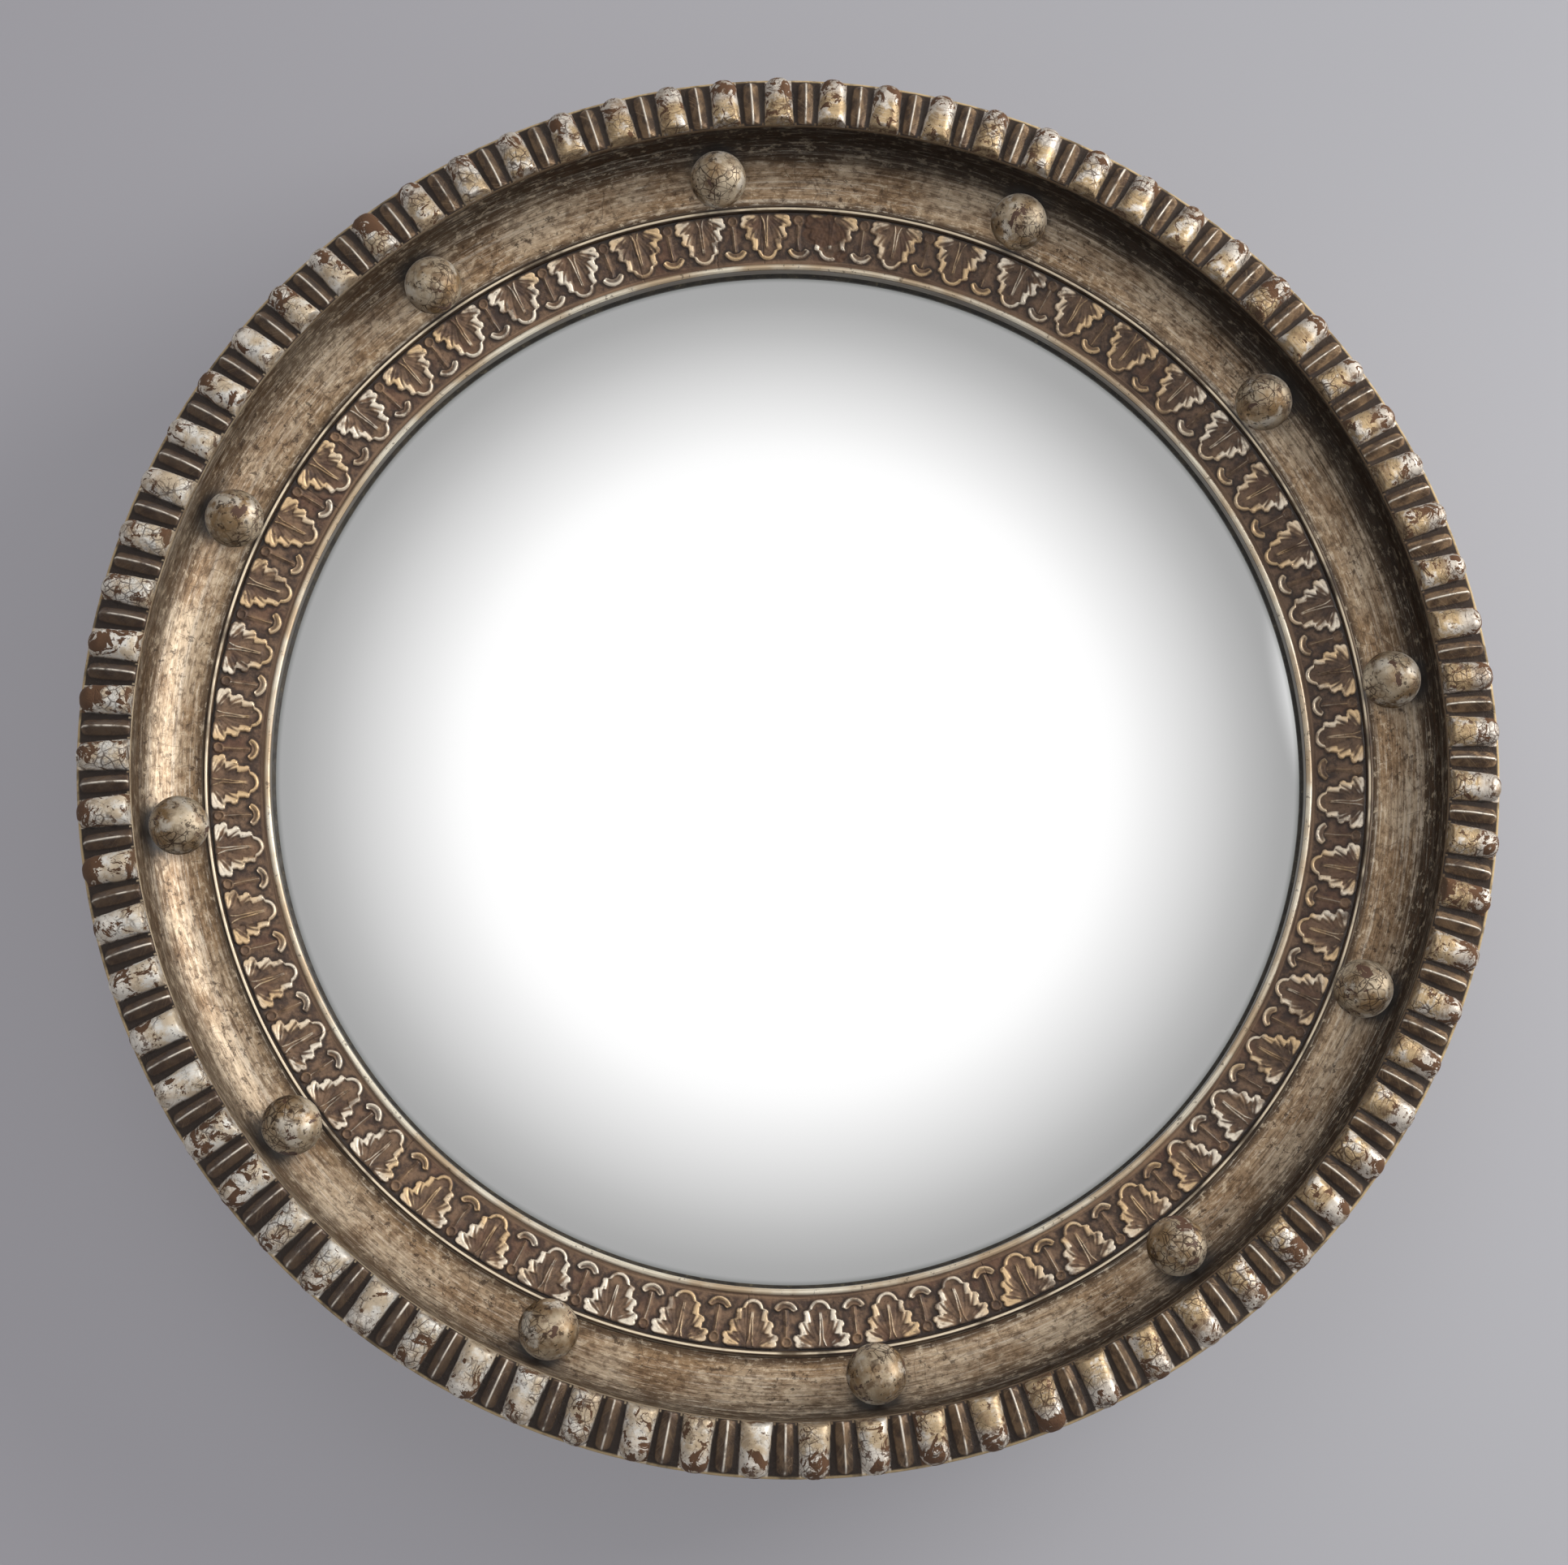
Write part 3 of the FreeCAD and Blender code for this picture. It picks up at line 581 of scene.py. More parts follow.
def wire_ring():
    """D-shaped ring of round wire with bent corners and a butt weld in its straight leg."""
    half, leg, bend, thick = 9.0, 4.5, 1.6, 1.25
    weld, weld_thick = 6, 1.33
    low, high = RING_AXIS + bend, RING_AXIS + leg
    path = [(x, RING_AXIS) for x in np.linspace(-half + bend, half - bend, 13)]
    path += arc((half - bend, low), bend, -90, 0, 7)[1:]
    path += [(half, z) for z in np.linspace(low, high, 5)[1:]]
    path += arc((0, high), half, 0, 180, 37)[1:]
    path += [(-half, z) for z in np.linspace(high, low, 5)[1:]]
    path += arc((-half + bend, low), bend, 180, 270, 7)[1:-1]
    path = np.array(path)
    along = np.roll(path, -1, axis=0) - np.roll(path, 1, axis=0)
    along /= np.linalg.norm(along, axis=1)[:, None]
    sides = 24
    phi = np.linspace(0, TURN, sides, endpoint=False)
    size = np.full((len(path), 1), thick)
    size[weld] = weld_thick
    wide = size * np.cos(phi)
    points = np.stack([path[:, :1] - along[:, 1:] * wide, -(RING_DEPTH + size * np.sin(phi)),
                       path[:, 1:] + along[:, :1] * wide], -1) * MM
    return new_mesh("wire_ring", points, ring_faces(len(path), sides, True))


def felt_pad(name, angle):
    rows = corner_cut([(0.02, 0.0, 0), (9.0, 0.0, 0.5), (9.0, 6.0, 0.15), (0.02, 6.0, 0)], 0.3, 4)[::-1]
    radius, depth = (np.array([row[k] for row in rows])[:, None] for k in (0, 1))
    phi = np.linspace(0, TURN, 96, endpoint=False)[None, :]
    x = 204 * math.cos(math.radians(angle)) + radius * np.cos(phi)
    z = 204 * math.sin(math.radians(angle)) + radius * np.sin(phi)
    return new_mesh(name, np.stack([x, -depth + 0 * phi, z], -1) * MM, ring_faces(len(rows), 96, True), 40)


# ---------------------------------------------------------------- materials

def tint(code):
    """Colour as seen on a screen, written as #rrggbb, in the renderer's linear values."""
    shares = [int(code[k:k + 2], 16) / 255 for k in (1, 3, 5)]
    return (*(v / 12.92 if v <= 0.04045 else ((v + 0.055) / 1.055)**2.4 for v in shares), 1.0)


class Nodes:
    """Short names for the nodes of a tree."""

    def __init__(self, tree):
        self.nodes, self.links = tree.nodes, tree.links
        self.nodes.clear()

    def plug(self, socket, value):
        if isinstance(value, bpy.types.NodeSocket):
            self.links.new(value, socket)
        elif value is not None:
            socket.default_value = tint(value) if isinstance(value, str) else value

    def make(self, kind, values=(), **settings):
        node = self.nodes.new("ShaderNode" + kind)
        for key, value in settings.items():
            setattr(node, key, value)
        for key, value in dict(values).items():
            self.plug(node.inputs[key], value)
        return node.outputs

    def maths(self, operation, *values, clamp=False):
        return self.make("Math", enumerate(values), operation=operation, use_clamp=clamp)[0]

    def times(self, a, b):
        return self.maths("MULTIPLY", a, b)

    def plus(self, a, b):
        return self.maths("ADD", a, b)

    def less(self, a, b):
        return self.maths("SUBTRACT", a, b)

    def larger(self, a, b):
        return self.maths("MAXIMUM", a, b)

    def vector(self, operation, *values):
        return self.make("VectorMath", enumerate(values), operation=operation)[0]

    def apart(self, place):
        return self.make("SeparateXYZ", {0: place})

    def together(self, x, y, z):
        return self.make("CombineXYZ", {0: x, 1: y, 2: z})[0]

    def span(self, value, low, high, to_low=0.0, to_high=1.0, kind="SMOOTHSTEP"):
        ends = {"Value": value, "From Min": low, "From Max": high, "To Min": to_low, "To Max": to_high}
        return self.make("MapRange", ends, interpolation_type=kind)[0]

    def line(self, value, low, high, to_low, to_high):
        return self.span(value, low, high, to_low, to_high, "LINEAR")


class Shade(Nodes):
    """A material, and short names for the patterns that it is made of."""

    def __init__(self, name):
        self.material = bpy.data.materials.new(name)
        self.material.use_nodes = True
        super().__init__(self.material.node_tree)
        self.output = self.nodes.new("ShaderNodeOutputMaterial")
        self.surface = self.nodes.new("ShaderNodeBsdfPrincipled")
        self.links.new(self.surface.outputs[0], self.output.inputs[0])
        self.object = self.make("TexCoord")["Object"]

    def value(self, name):
        return self.make("Attribute", attribute_name=name)["Fac"]

    def noise(self, scale, detail=4.0, rough=0.6, place=None, bend=0.0):
        return self.make("TexNoise", {"Vector": place or self.object, "Scale": scale, "Detail": detail,
                                      "Roughness": rough, "Distortion": bend})[0]

    def spots(self, scale, low, high, detail=4.0, rough=0.6):
        return self.span(self.noise(scale, detail, rough), low, high)

    def specks(self, scale, low, high):
        return self.spots(scale, low, high, 3, 0.7)

    def uneven(self, scale, detail, size):
        """Noise about 0, to wander an edge by."""
        return self.times(self.less(self.noise(scale, detail), 0.5), size)

    def cells(self, scale, place=None, feature="DISTANCE_TO_EDGE"):
        return self.make("TexVoronoi", {"Vector": place or self.object, "Scale": scale}, feature=feature)["Distance"]

    def crackle(self, scale, width, warp=0.004, warp_scale=90):
        """Fine crack lines, broken off where a slow noise says so."""
        shift = self.make("TexNoise", {"Vector": self.object, "Scale": warp_scale, "Detail": 3.0})["Color"]
        shift = self.vector("MULTIPLY", self.vector("SUBTRACT", shift, (0.5, 0.5, 0.5)), (warp, warp, warp))
        cracks = self.span(self.cells(scale, self.vector("ADD", self.object, shift)), width, width * 0.15)
        return self.times(cracks, self.spots(70, 0.44, 0.6, 3))

    def blend(self, share, a, b):
        ends = {0: share, 6: a, 7: b}
        return self.make("Mix", ends, data_type="RGBA", blend_type="MIX", clamp_factor=True)[2]

    def two_tone(self, scale, low, high, a, b, detail=4.0, rough=0.6):
        return self.blend(self.spots(scale, low, high, detail, rough), a, b)

    def coats(self, colour, *layers):
        """Lay colours one over the other, each as (mask, perhaps its low and high limit, how dense it is, colour)."""
        for mask, *limits, dense, other in layers:
            mask = self.span(mask, *limits) if limits else mask
            colour = self.blend(mask if dense == 1 else self.times(mask, dense), colour, other)
        return colour

    def round_place(self, along, across):
        """Radius, and coordinates for streaks that run round the mirror: long round the turn, tight across it."""
        x, y, z = self.apart(self.object)
        radius = self.maths("SQRT", self.plus(self.times(x, x), self.times(z, z)))
        cos, sin = self.maths("DIVIDE", x, radius), self.maths("DIVIDE", z, radius)
        return radius, self.together(self.times(cos, along), self.times(sin, along),
                                     self.times(self.less(radius, y), across))

    def bump(self, height, strength, distance, under=None):
        return self.make("Bump", {"Height": height, "Strength": strength, "Distance": distance, "Normal": under})[0]

    def finish(self, colour, rough, metal, normal):
        for name, value in zip(("Base Color", "Roughness", "Metallic", "Normal"), (colour, rough, metal, normal)):
            self.plug(self.surface.inputs[name], value)
        return self.material


PALE = "#e8ddcb"
SILVER = "#dcd1c3"
CHAMPAGNE = "#ccb086"
UMBER = "#4e3c2f"
DARK = "#261c16"
BOLE = "#583e2c"


def lobe_silver():
    m = Shade("worn_silver_lobes")
    lobe, cavity_dirt_and_shade, inner_end_dirt_and_shade, ridge, edge, outer, side, shade, lit = map(m.value, (
        "lobe", "cavity_dirt_and_shade", "inner_end_dirt_and_shade", "ridge", "edge", "outer", "side", "shade", "lit"))
    streak = m.noise(1.0, 4, 0.65, m.round_place(26.0, 1500.0)[1])
    mottle = m.noise(170, 5, 0.65)
    cracks = m.larger(m.crackle(300, 0.085), m.times(m.crackle(620, 0.13, 0.003, 200), 0.45))
    flakes = m.times(m.specks(330, 0.575, 0.6), m.spots(75, 0.44, 0.6, 3))
    # bole shows where the leaf has rubbed off, most at the outer ends
    patch = m.plus(m.plus(m.noise(160, 5, 0.68, bend=1.1), m.times(outer, 0.07)), m.times(shade, 0.022))
    bare = m.span(patch, 0.58, 0.592)
    # silver leaf: grey at the outer ends, golden towards the fillet, with painted light where the lamp reaches it
    grey = m.span(m.plus(outer, m.uneven(60, 3, 1.6)), 0.1, 0.9)
    glow = m.times(lit, m.line(outer, 0.0, 1.0, 0.92, 0.36))
    uneven = m.uneven(300, 4, 0.9)
    leaf = m.coats(
        m.blend(grey, CHAMPAGNE, SILVER),
        (mottle, 0.5, 0.62, 1, "#f4eadc"),
        (mottle, 0.47, 0.34, 0.75, "#967a5a"),
        (streak, 0.53, 0.68, 0.6, "#70563e"),
        (streak, 0.46, 0.34, 0.45, PALE),
        (glow, 1, m.blend(m.span(mottle, 0.4, 0.6), "#e4d0b2", "#fffaee")),
        (cracks, 0.85, "#483224"),
        (m.specks(760, 0.6, 0.67), 0.7, "#463226"),
        (flakes, 0.85, "#5c3e2a"),
        (bare, 1, m.blend(m.noise(420, 3), BOLE, "#6a4c34")),
        # painted shade and dirt at the lobes' inner ends
        (m.span(m.plus(inner_end_dirt_and_shade, uneven), 0.35, 0.95), 0.7, "#54402c"))
    flank = m.coats(
        m.two_tone(210, 0.36, 0.64, "#92775a", "#584434"),
        (streak, 0.46, 0.32, 0.6, "#b09676"),
        # darker on the side whose walls face the lamp: painted shade
        (lit, 0.65, "#48372d"))
    # dirt and painted shade in the grooves, a painted highlight with rubbed wear on the reeds' crests, rubbed edges,
    # and a plain stained side
    ridge_wear_and_highlight = m.times(ridge, m.span(m.noise(150, 3), 0.36, 0.54, 0.1, 1.0))
    worn_edge = m.times(edge, m.span(m.noise(150, 3), 0.35, 0.55, 0.35, 1.0))
    colour = m.coats(
        m.blend(lobe, flank, leaf),
        (m.span(m.plus(cavity_dirt_and_shade, m.times(uneven, 0.6)), 0.35, 0.98), 0.94, "#2a201a"),
        (ridge_wear_and_highlight, 1, "#faf0de"),
        (worn_edge, 1, "#ceb488"),
        (side, 1, m.two_tone(160, 0.35, 0.65, "#543e2c", "#34271e")))
    dull = m.larger(m.larger(bare, side), m.span(cavity_dirt_and_shade, 0.2, 0.7))
    metal = m.times(m.less(1.0, dull), m.line(glow, 0.0, 0.8, 0.5, 0.15))
    height = m.less(m.times(m.noise(700, 4), 0.6), m.times(cracks, 0.9))
    height = m.less(height, m.times(bare, 0.8))
    return m.finish(colour, m.line(dull, 0, 1, 0.4, 0.72), metal, m.bump(height, 0.55, 0.00022))


def cove_silver():
    m = Shade("rubbed_silver_cove")
    cavity_dirt_and_shade, lit = m.value("cavity_dirt_and_shade"), m.value("lit")
    across, depth, above = m.apart(m.object)
    radius, long_place = m.round_place(1.6, 520.0)
    long_streak = m.noise(1.0, 5, 0.65, long_place)
    fibre = m.noise(1.0, 5, 0.72, m.round_place(20.0, 1300.0)[1])
    blotch = m.noise(1.0, 5, 0.68, m.round_place(60.0, 420.0)[1])
    cloud = m.noise(34, 5, 0.62)
    dots = m.times(m.specks(420, 0.575, 0.64), m.spots(30, 0.38, 0.58, 3))
    worn = m.times(m.spots(46, 0.54, 0.68, 5, 0.7), m.specks(150, 0.58, 0.63))
    # bronze towards the lip, silver in the middle; painted shade by the lip and at the outer wall, less where the lamp
    # reaches, and painted shade at the upper right, where no light reaches
    wandering = m.plus(radius, m.times(m.less(m.plus(long_streak, cloud), 1.0), 0.008))
    low = m.times(m.span(radius, 0.1966, 0.1936), m.line(lit, 0.0, 1.0, 0.95, 0.7))
    wall = m.times(m.span(wandering, 0.205, 0.2104), m.line(lit, 0.0, 1.0, 1.0, 0.55))
    unlit = m.times(m.span(m.plus(across, above), 0.15, 0.28), m.span(wandering, 0.204, 0.2085))
    # a painted highlight with rubbed wear on the lip's crest, a painted highlight on the fillet's edge where the lamp
    # reaches, and painted shade on the lip's flanks
    on_lip = m.times(m.span(radius, 0.1933, 0.1931), m.span(radius, 0.1905, 0.1908))
    crest = m.times(m.span(radius, 0.19215, 0.19195), m.span(radius, 0.1913, 0.1915))
    outer_line = m.times(m.span(radius, 0.1931, 0.193), m.span(radius, 0.1927, 0.1928))
    crest = m.larger(crest, m.times(outer_line, 0.25))
    crest_wear_and_highlight = m.times(crest, m.span(m.noise(48, 4), 0.34, 0.52, 0.15, 1.0))
    on_fillet = m.span(depth, -0.058, -0.0588)
    painted_fillet_highlight = m.times(on_fillet, m.line(lit, 0.0, 1.0, 0.0, 0.45))
    shadowed = m.span(m.plus(cavity_dirt_and_shade, m.uneven(200, 4, 0.5)), 0.06, 0.72)
    # the side under the rim and the sides of the layers are plain, stained and dusty
    side = m.span(radius, 0.215, 0.2165)
    side_streak = m.span(m.noise(120, 4, 0.6, long_place), 0.3, 0.7)
    edge_line = m.times(m.span(radius, 0.2268, 0.2271), m.spots(90, 0.35, 0.55))
    side_colour = m.coats(m.blend(side_streak, "#604a34", "#423124"),
                          (edge_line, 1, "#c4ac84"))
    colour = m.coats(
        m.blend(m.span(cloud, 0.38, 0.62), "#ceb89c", "#a28464"),
        (wandering, 0.2025, 0.195, 0.6, "#9e805c"),
        (low, 1, "#423225"),
        (wall, 1, "#3a2d21"),
        (long_streak, 0.5, 0.7, 0.6, "#68503a"),
        (long_streak, 0.46, 0.32, 0.4, PALE),
        (fibre, 0.52, 0.66, 0.68, "#4e3a2b"),
        (fibre, 0.46, 0.34, 0.55, "#f0e4d0"),
        (blotch, 0.5, 0.62, 0.62, "#5c4632"),
        (blotch, 0.46, 0.36, 0.5, "#ecd8ba"),
        (dots, 0.72, "#3a2a20"),
        (worn, 0.55, BOLE),
        (m.crackle(150, 0.035, 0.014, 40), 0.45, UMBER),
        (unlit, 0.62, "#221a14"),
        (on_lip, 0.95, m.two_tone(120, 0.38, 0.62, "#544231", "#34271e")),
        (crest_wear_and_highlight, 1, "#f6e4c6"),
        (on_fillet, 0.9, "#68543e"),
        (m.times(painted_fillet_highlight, m.span(m.noise(60, 4), 0.36, 0.6, 0.2, 1.0)), 1, "#d4c2a4"),
        (shadowed, 0.94, "#1e1611"),
        (side, 1, side_colour))
    rough = m.line(m.plus(long_streak, m.times(fibre, 0.5)), 0.5, 1.1, 0.36, 0.56)
    metal = m.times(m.less(1.0, m.larger(shadowed, side)), 0.6)
    height = m.less(m.times(m.plus(fibre, m.noise(800, 4)), 0.5), m.times(dots, 0.5))
    return m.finish(colour, rough, metal, m.bump(height, 0.35, 0.00014, m.bump(m.noise(32, 3), 0.25, 0.0012)))


def ball_silver(number):
    m = Shade("worn_silver_ball_%02d" % number)
    m.object = m.vector("ADD", m.object, (0.31 * number, 0.17 * number, 0.23 * number))
    cavity_dirt_and_shade, wear = m.value("cavity_dirt_and_shade"), m.value("wear")
    seat = m.plus(cavity_dirt_and_shade, m.uneven(160, 4, 0.7))
    cracks = m.larger(m.times(m.crackle(330, 0.075), 0.8), m.times(m.crackle(110, 0.028, 0.012, 60), 0.9))
    bare = m.span(m.plus(m.noise(120, 5, 0.65, bend=0.8), m.times(wear, 0.035)), 0.63, 0.642)
    colour = m.coats(
        m.two_tone(95, 0.38, 0.64, "#d8c6aa", "#a0825c"),
        (m.spots(300, 0.5, 0.66, 5), 0.8, "#7a624a"),
        (m.spots(140, 0.47, 0.34), 1, PALE),
        # painted shade towards the cove
        (seat, -0.2, 0.45, 0.8, "#5c462e"),
        (cavity_dirt_and_shade, 0.3, 0.85, 0.92, DARK),
        (cracks, 1, "#3a281d"),
        (m.specks(480, 0.57, 0.63), 0.8, "#402f23"),
        (bare, 1, m.blend(m.noise(300, 3), BOLE, "#563e32")))
    metal = m.times(m.maths("SUBTRACT", 1.0, m.larger(bare, cavity_dirt_and_shade), clamp=True), 0.6)
    rough = m.line(m.noise(240, 4), 0.3, 0.7, 0.4, 0.58)
    height = m.less(m.times(m.noise(700, 4), 0.5), m.larger(cracks, bare))
    return m.finish(colour, rough, metal, m.bump(height, 0.5, 0.0002))


def leaf_silver():
    m = Shade("toned_silver_leaves")
    cavity_dirt_and_shade, wear, chip, inner, lip_shadow = map(m.value, ("cavity_dirt_and_shade", "wear", "chip", "inner", "lip_shadow"))
    rubbed = m.times(wear, m.span(m.noise(170, 4, 0.6), 0.32, 0.58, 0.35, 1.0))
    ground = m.coats(
        m.two_tone(230, 0.38, 0.64, "#46362d", "#846a54", 5, 0.7),
        (m.spots(60, 0.5, 0.66, 3), 0.5, "#704e3c"))
    relief = m.coats(
        m.two_tone(160, 0.38, 0.62, "#9e8062", "#604a3a"),
        (m.spots(520, 0.52, 0.66), 0.8, "#3a2c23"))
    plain = m.span(m.noise(1.0, 4, 0.6, m.round_place(6.0, 900.0)[1]), 0.38, 0.64)
    colour = m.coats(
        m.blend(m.span(cavity_dirt_and_shade, 0.75, 0.25), ground, relief),
        # painted shade in the hollows, and a painted shadow under the lip
        (cavity_dirt_and_shade, 0.72, 1.0, 0.8, "#2c211b"),
        (lip_shadow, 0.9, "#1e1612"),
        (rubbed, 0.16, 0.74, 1, m.two_tone(28, 0.42, 0.58, "#faecd6", "#e8c698", 3)),
        (m.specks(900, 0.61, 0.68), 0.6, DARK),
        (inner, 0.85, m.blend(plain, "#967a60", "#5c4636")),
        (chip, 0.2, 0.8, 1, m.two_tone(420, 0.35, 0.7, "#684c38", "#463226")))
    metal = m.times(m.span(rubbed, 0.2, 0.8), 0.5)
    height = m.plus(m.times(m.noise(620, 5, 0.7), 0.8), m.times(m.noise(240, 3), 0.4))
    return m.finish(colour, m.line(rubbed, 0.0, 1.0, 0.6, 0.36), metal, m.bump(height, 0.6, 0.0003))


def bead_silver():
    m = Shade("pale_silver_bead")
    radius, place_round = m.round_place(4.0, 1500.0)
    streak = m.noise(1.0, 4, 0.6, place_round)
    # darker at its outer edge by the leaf band, and nearly black on its inner side by the slip
    outer_edge_darkening = m.span(m.plus(radius, m.times(m.less(streak, 0.5), 0.001)), 0.1734, 0.174)
    colour = m.coats(
        m.two_tone(30, 0.4, 0.6, "#f4ead4", "#ccb494"),
        (streak, 0.52, 0.68, 0.5, "#8c725a"),
        (outer_edge_darkening, 0.8, "#7a5e48"),
        (radius, 0.172, 0.17182, 0.9, DARK),
        (m.specks(500, 0.6, 0.67), 0.6, UMBER))
    return m.finish(colour, m.line(streak, 0.3, 0.7, 0.34, 0.5), m.times(m.less(1.0, outer_edge_darkening), 0.5),
                    m.bump(m.plus(streak, m.noise(600, 3)), 0.25, 0.00012))


def black_paint():
    m = Shade("ebonised_slip")
    colour = m.coats(m.two_tone(260, 0.4, 0.66, "#1e1913", "#362f24"),
                     (m.specks(640, 0.6, 0.67), 0.6, "#605842"))
    rough = m.line(m.noise(300, 3), 0.3, 0.7, 0.46, 0.6)
    return m.finish(colour, rough, 0.0, m.bump(m.noise(500, 4), 0.3, 0.0002))


def mirror_silvering():
    """Silver seen through the glass from the front, dull grey paint over it at the back."""
    m = Shade("silvered_glass")
    radius, _ = m.round_place(1.0, 1.0)
    behind = m.apart(m.make("NewGeometry")["Normal"])[1]
    back = m.span(behind, 0.3, 0.4)
    # the silver turns grey in its last two millimetres by the slip: painted shade at the glass's edge
    silver = m.blend(m.span(radius, 0.169, 0.1712), "#fafafa", "#c4c6c4")
    colour = m.blend(back, silver, m.blend(m.noise(60, 4), "#46423e", "#58524c"))
    rough = m.line(m.plus(back, m.times(m.spots(14, 0.55, 0.8), 0.01)), 0, 1, 0.025, 0.7)
    return m.finish(colour, rough, m.line(back, 0.0, 1.0, 1.0, 0.0), m.bump(m.noise(9, 2), 0.04, 0.0006))


def grained_wood(name, light, dark, sectors=0, dust=0.2):
    """Wood with its grain along X, or glued up from sectors, each with its own grain along its middle."""
    m = Shade(name)
    place_in, long, short = m.object, (3.2, 60.0, 60.0), (46.0, 900.0, 1400.0)
    if sectors:
        long, short = long[::-1], short[::-1]
        x, _, z = m.apart(m.object)
        share = m.times(m.maths("DIVIDE", m.maths("ARCTAN2", z, x), TURN), sectors)
        number = m.maths("FLOOR", share)
        turn = m.times(m.plus(number, 0.5), -TURN / sectors)
        turned = m.make("VectorRotate", {"Vector": m.object, "Angle": turn}, rotation_type="Y_AXIS")[0]
        place_in = m.vector("ADD", turned, m.together(m.times(number, 0.37), number, 0.0))
        joint = m.span(m.maths("ABSOLUTE", m.less(m.maths("FRACT", share), 0.5)), 0.4985, 0.4998)
    rings = m.noise(1.0, 5, 0.6, m.vector("MULTIPLY", place_in, long), 1.2)
    pores = m.noise(1.0, 3, 0.7, m.vector("MULTIPLY", place_in, short))
    colour = m.coats(
        m.blend(m.span(rings, 0.32, 0.7), light, dark),
        (pores, 0.56, 0.72, 0.6, "#281c12"),
        (m.spots(18, 0.5, 0.75), dust, "#968a78"))
    if sectors:
        colour = m.coats(colour, (joint, 0.8, "#24180f"))
    rough = m.line(rings, 0.2, 0.8, 0.58, 0.78)
    return m.finish(colour, rough, 0.0, m.bump(m.plus(rings, pores), 0.35, 0.0002))


def plain_metal(name, light, dark, rough_low, rough_high, metal):
    m = Shade(name)
    colour = m.coats(m.two_tone(260, 0.35, 0.68, light, dark, 5), (m.specks(900, 0.62, 0.7), 0.6, "#34281c"))
    fine = m.noise(1.0, 3, 0.6, m.vector("MULTIPLY", m.object, (2600.0, 300.0, 300.0)))
    return m.finish(colour, m.line(fine, 0.3, 0.7, rough_low, rough_high), metal, m.bump(fine, 0.2, 0.00006))


def felt():
    m = Shade("dense_felt")
    fibre = m.noise(2600, 4, 0.8)
    colour = m.blend(m.span(fibre, 0.35, 0.65), "#303a2e", "#1c241c")
    return m.finish(colour, 0.95, 0.0, m.bump(fibre, 0.8, 0.0004))


def gesso():
    m = Shade("stained_gesso")
    colour = m.two_tone(380, 0.36, 0.66, "#523a28", "#2e2018")
    return m.finish(colour, 0.6, 0.0, m.bump(m.noise(700, 4), 0.6, 0.0003))


def cork():
    m = Shade("bare_cork")
    colour = m.blend(m.span(m.cells(900, None, "F1"), 0.1, 0.7), "#96704a", "#684a2e")
    return m.finish(colour, 0.85, 0.0, m.bump(m.noise(900, 4), 0.5, 0.0003))


def dress(piece, material):
    piece.data.materials.clear()
    piece.data.materials.append(material)


def place(piece, body, replaced, slot, material, mirrored=True):
    """Fix a piece to its body; what isn't mirrored keeps out of reflections, as the glass shows only the pale room."""
    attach(piece, body)
    piece.visible_glossy = mirrored
    if replaced:
        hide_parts(*replaced)
    dress(piece, material)


# ---------------------------------------------------------------- pieces on their bodies

place(gadroon_rim(), "frame", ["gadroon_rim"], "silvered_wood", lobe_silver(), False)
place(turned_frame(), "frame", ["cove_ring", "cove_wall_ring"], "silvered_wood", cove_silver(), False)
place(leaf_band(), "frame", ["leaf_band"], "silvered_composition", leaf_silver(), False)
bead_profile = [(LEAF_IN, 28.8), (BEAD_IN + 0.25, 28.8), (BEAD_IN + 0.25, 26.45), (BEAD_IN, 26.45), (BEAD_IN, 29.9),
                *arc((172.9, 29.75), 1.05, 170, 10, 14), (LEAF_IN, 29.9)]
bead = lathe("turned_bead", bead_profile, sharp=50)
place(bead, "frame", ["sight_bead"], "silvered_composition", bead_silver(), False)
slip_profile = corner_cut([(170.8, 24.2), (170.8, 25.3), (171.8, 26.4), (176.2, 26.4), (176.2, 24.2)], 0.15)
place(lathe("turned_slip", slip_profile), "frame", ["black_slip"], "ebonised_wood", black_paint(), False)
place(glass_dome(), "frame", ["mirror_glass"], "mirror", mirror_silvering())
smear = gesso()
for number in range(1, BALLS + 1):
    place(ball(number), "frame", ["ball_%02d" % number], "silvered_wood", ball_silver(number), False)
    place(gesso_smear(number), "frame", None, "silvered_wood", smear, False)

ring_profile = corner_cut([(176.5, 10.0), (176.5, 18.0), (222.0, 18.0), (222.0, 6.0, 1.5), (185.5, 6.0), (185.5, 10.0)],
                          0.25, 4)
place(lathe("ring_of_segments", ring_profile), "frame", ["base_ring"], "back_wood",
      grained_wood("stained_ring_wood", "#7e5c3c", "#5c4028", 8, 0.25))
board_profile = corner_cut([(0.02, 6.0, 0), (0.02, 10.0, 0), (185.0, 10.0), (185.0, 6.0, 0.35)], 0.15)
place(lathe("back_panel", board_profile, 360), "frame", ["backboard"], "board",
      grained_wood("bare_board", "#b28e64", "#926e48", 0, 0.3))
brass = plain_metal("tarnished_brass", "#b08e4e", "#806234", 0.3, 0.46, 1.0)
steel = plain_metal("dull_zinc", "#a8a49c", "#7e7870", 0.34, 0.5, 1.0)
BUTTONS = 6
screw_turns = np.random.default_rng(5).uniform(0, math.pi, BUTTONS + 2)
for index in range(BUTTONS):
    name = "turn_button_%d" % (index + 1)
    place(turn_button(index), name, [name], "brass", brass)
    x, z = BUTTON_RING * math.cos(math.radians(60 * index)), BUTTON_RING * math.sin(math.radians(60 * index))
    head = screw_head("button_screw_%d" % (index + 1), x, z, 2.3, 3.4, 1.8, screw_turns[index])
    place(head, "frame", None if index else ["turn_button_screws"], "brass", brass)
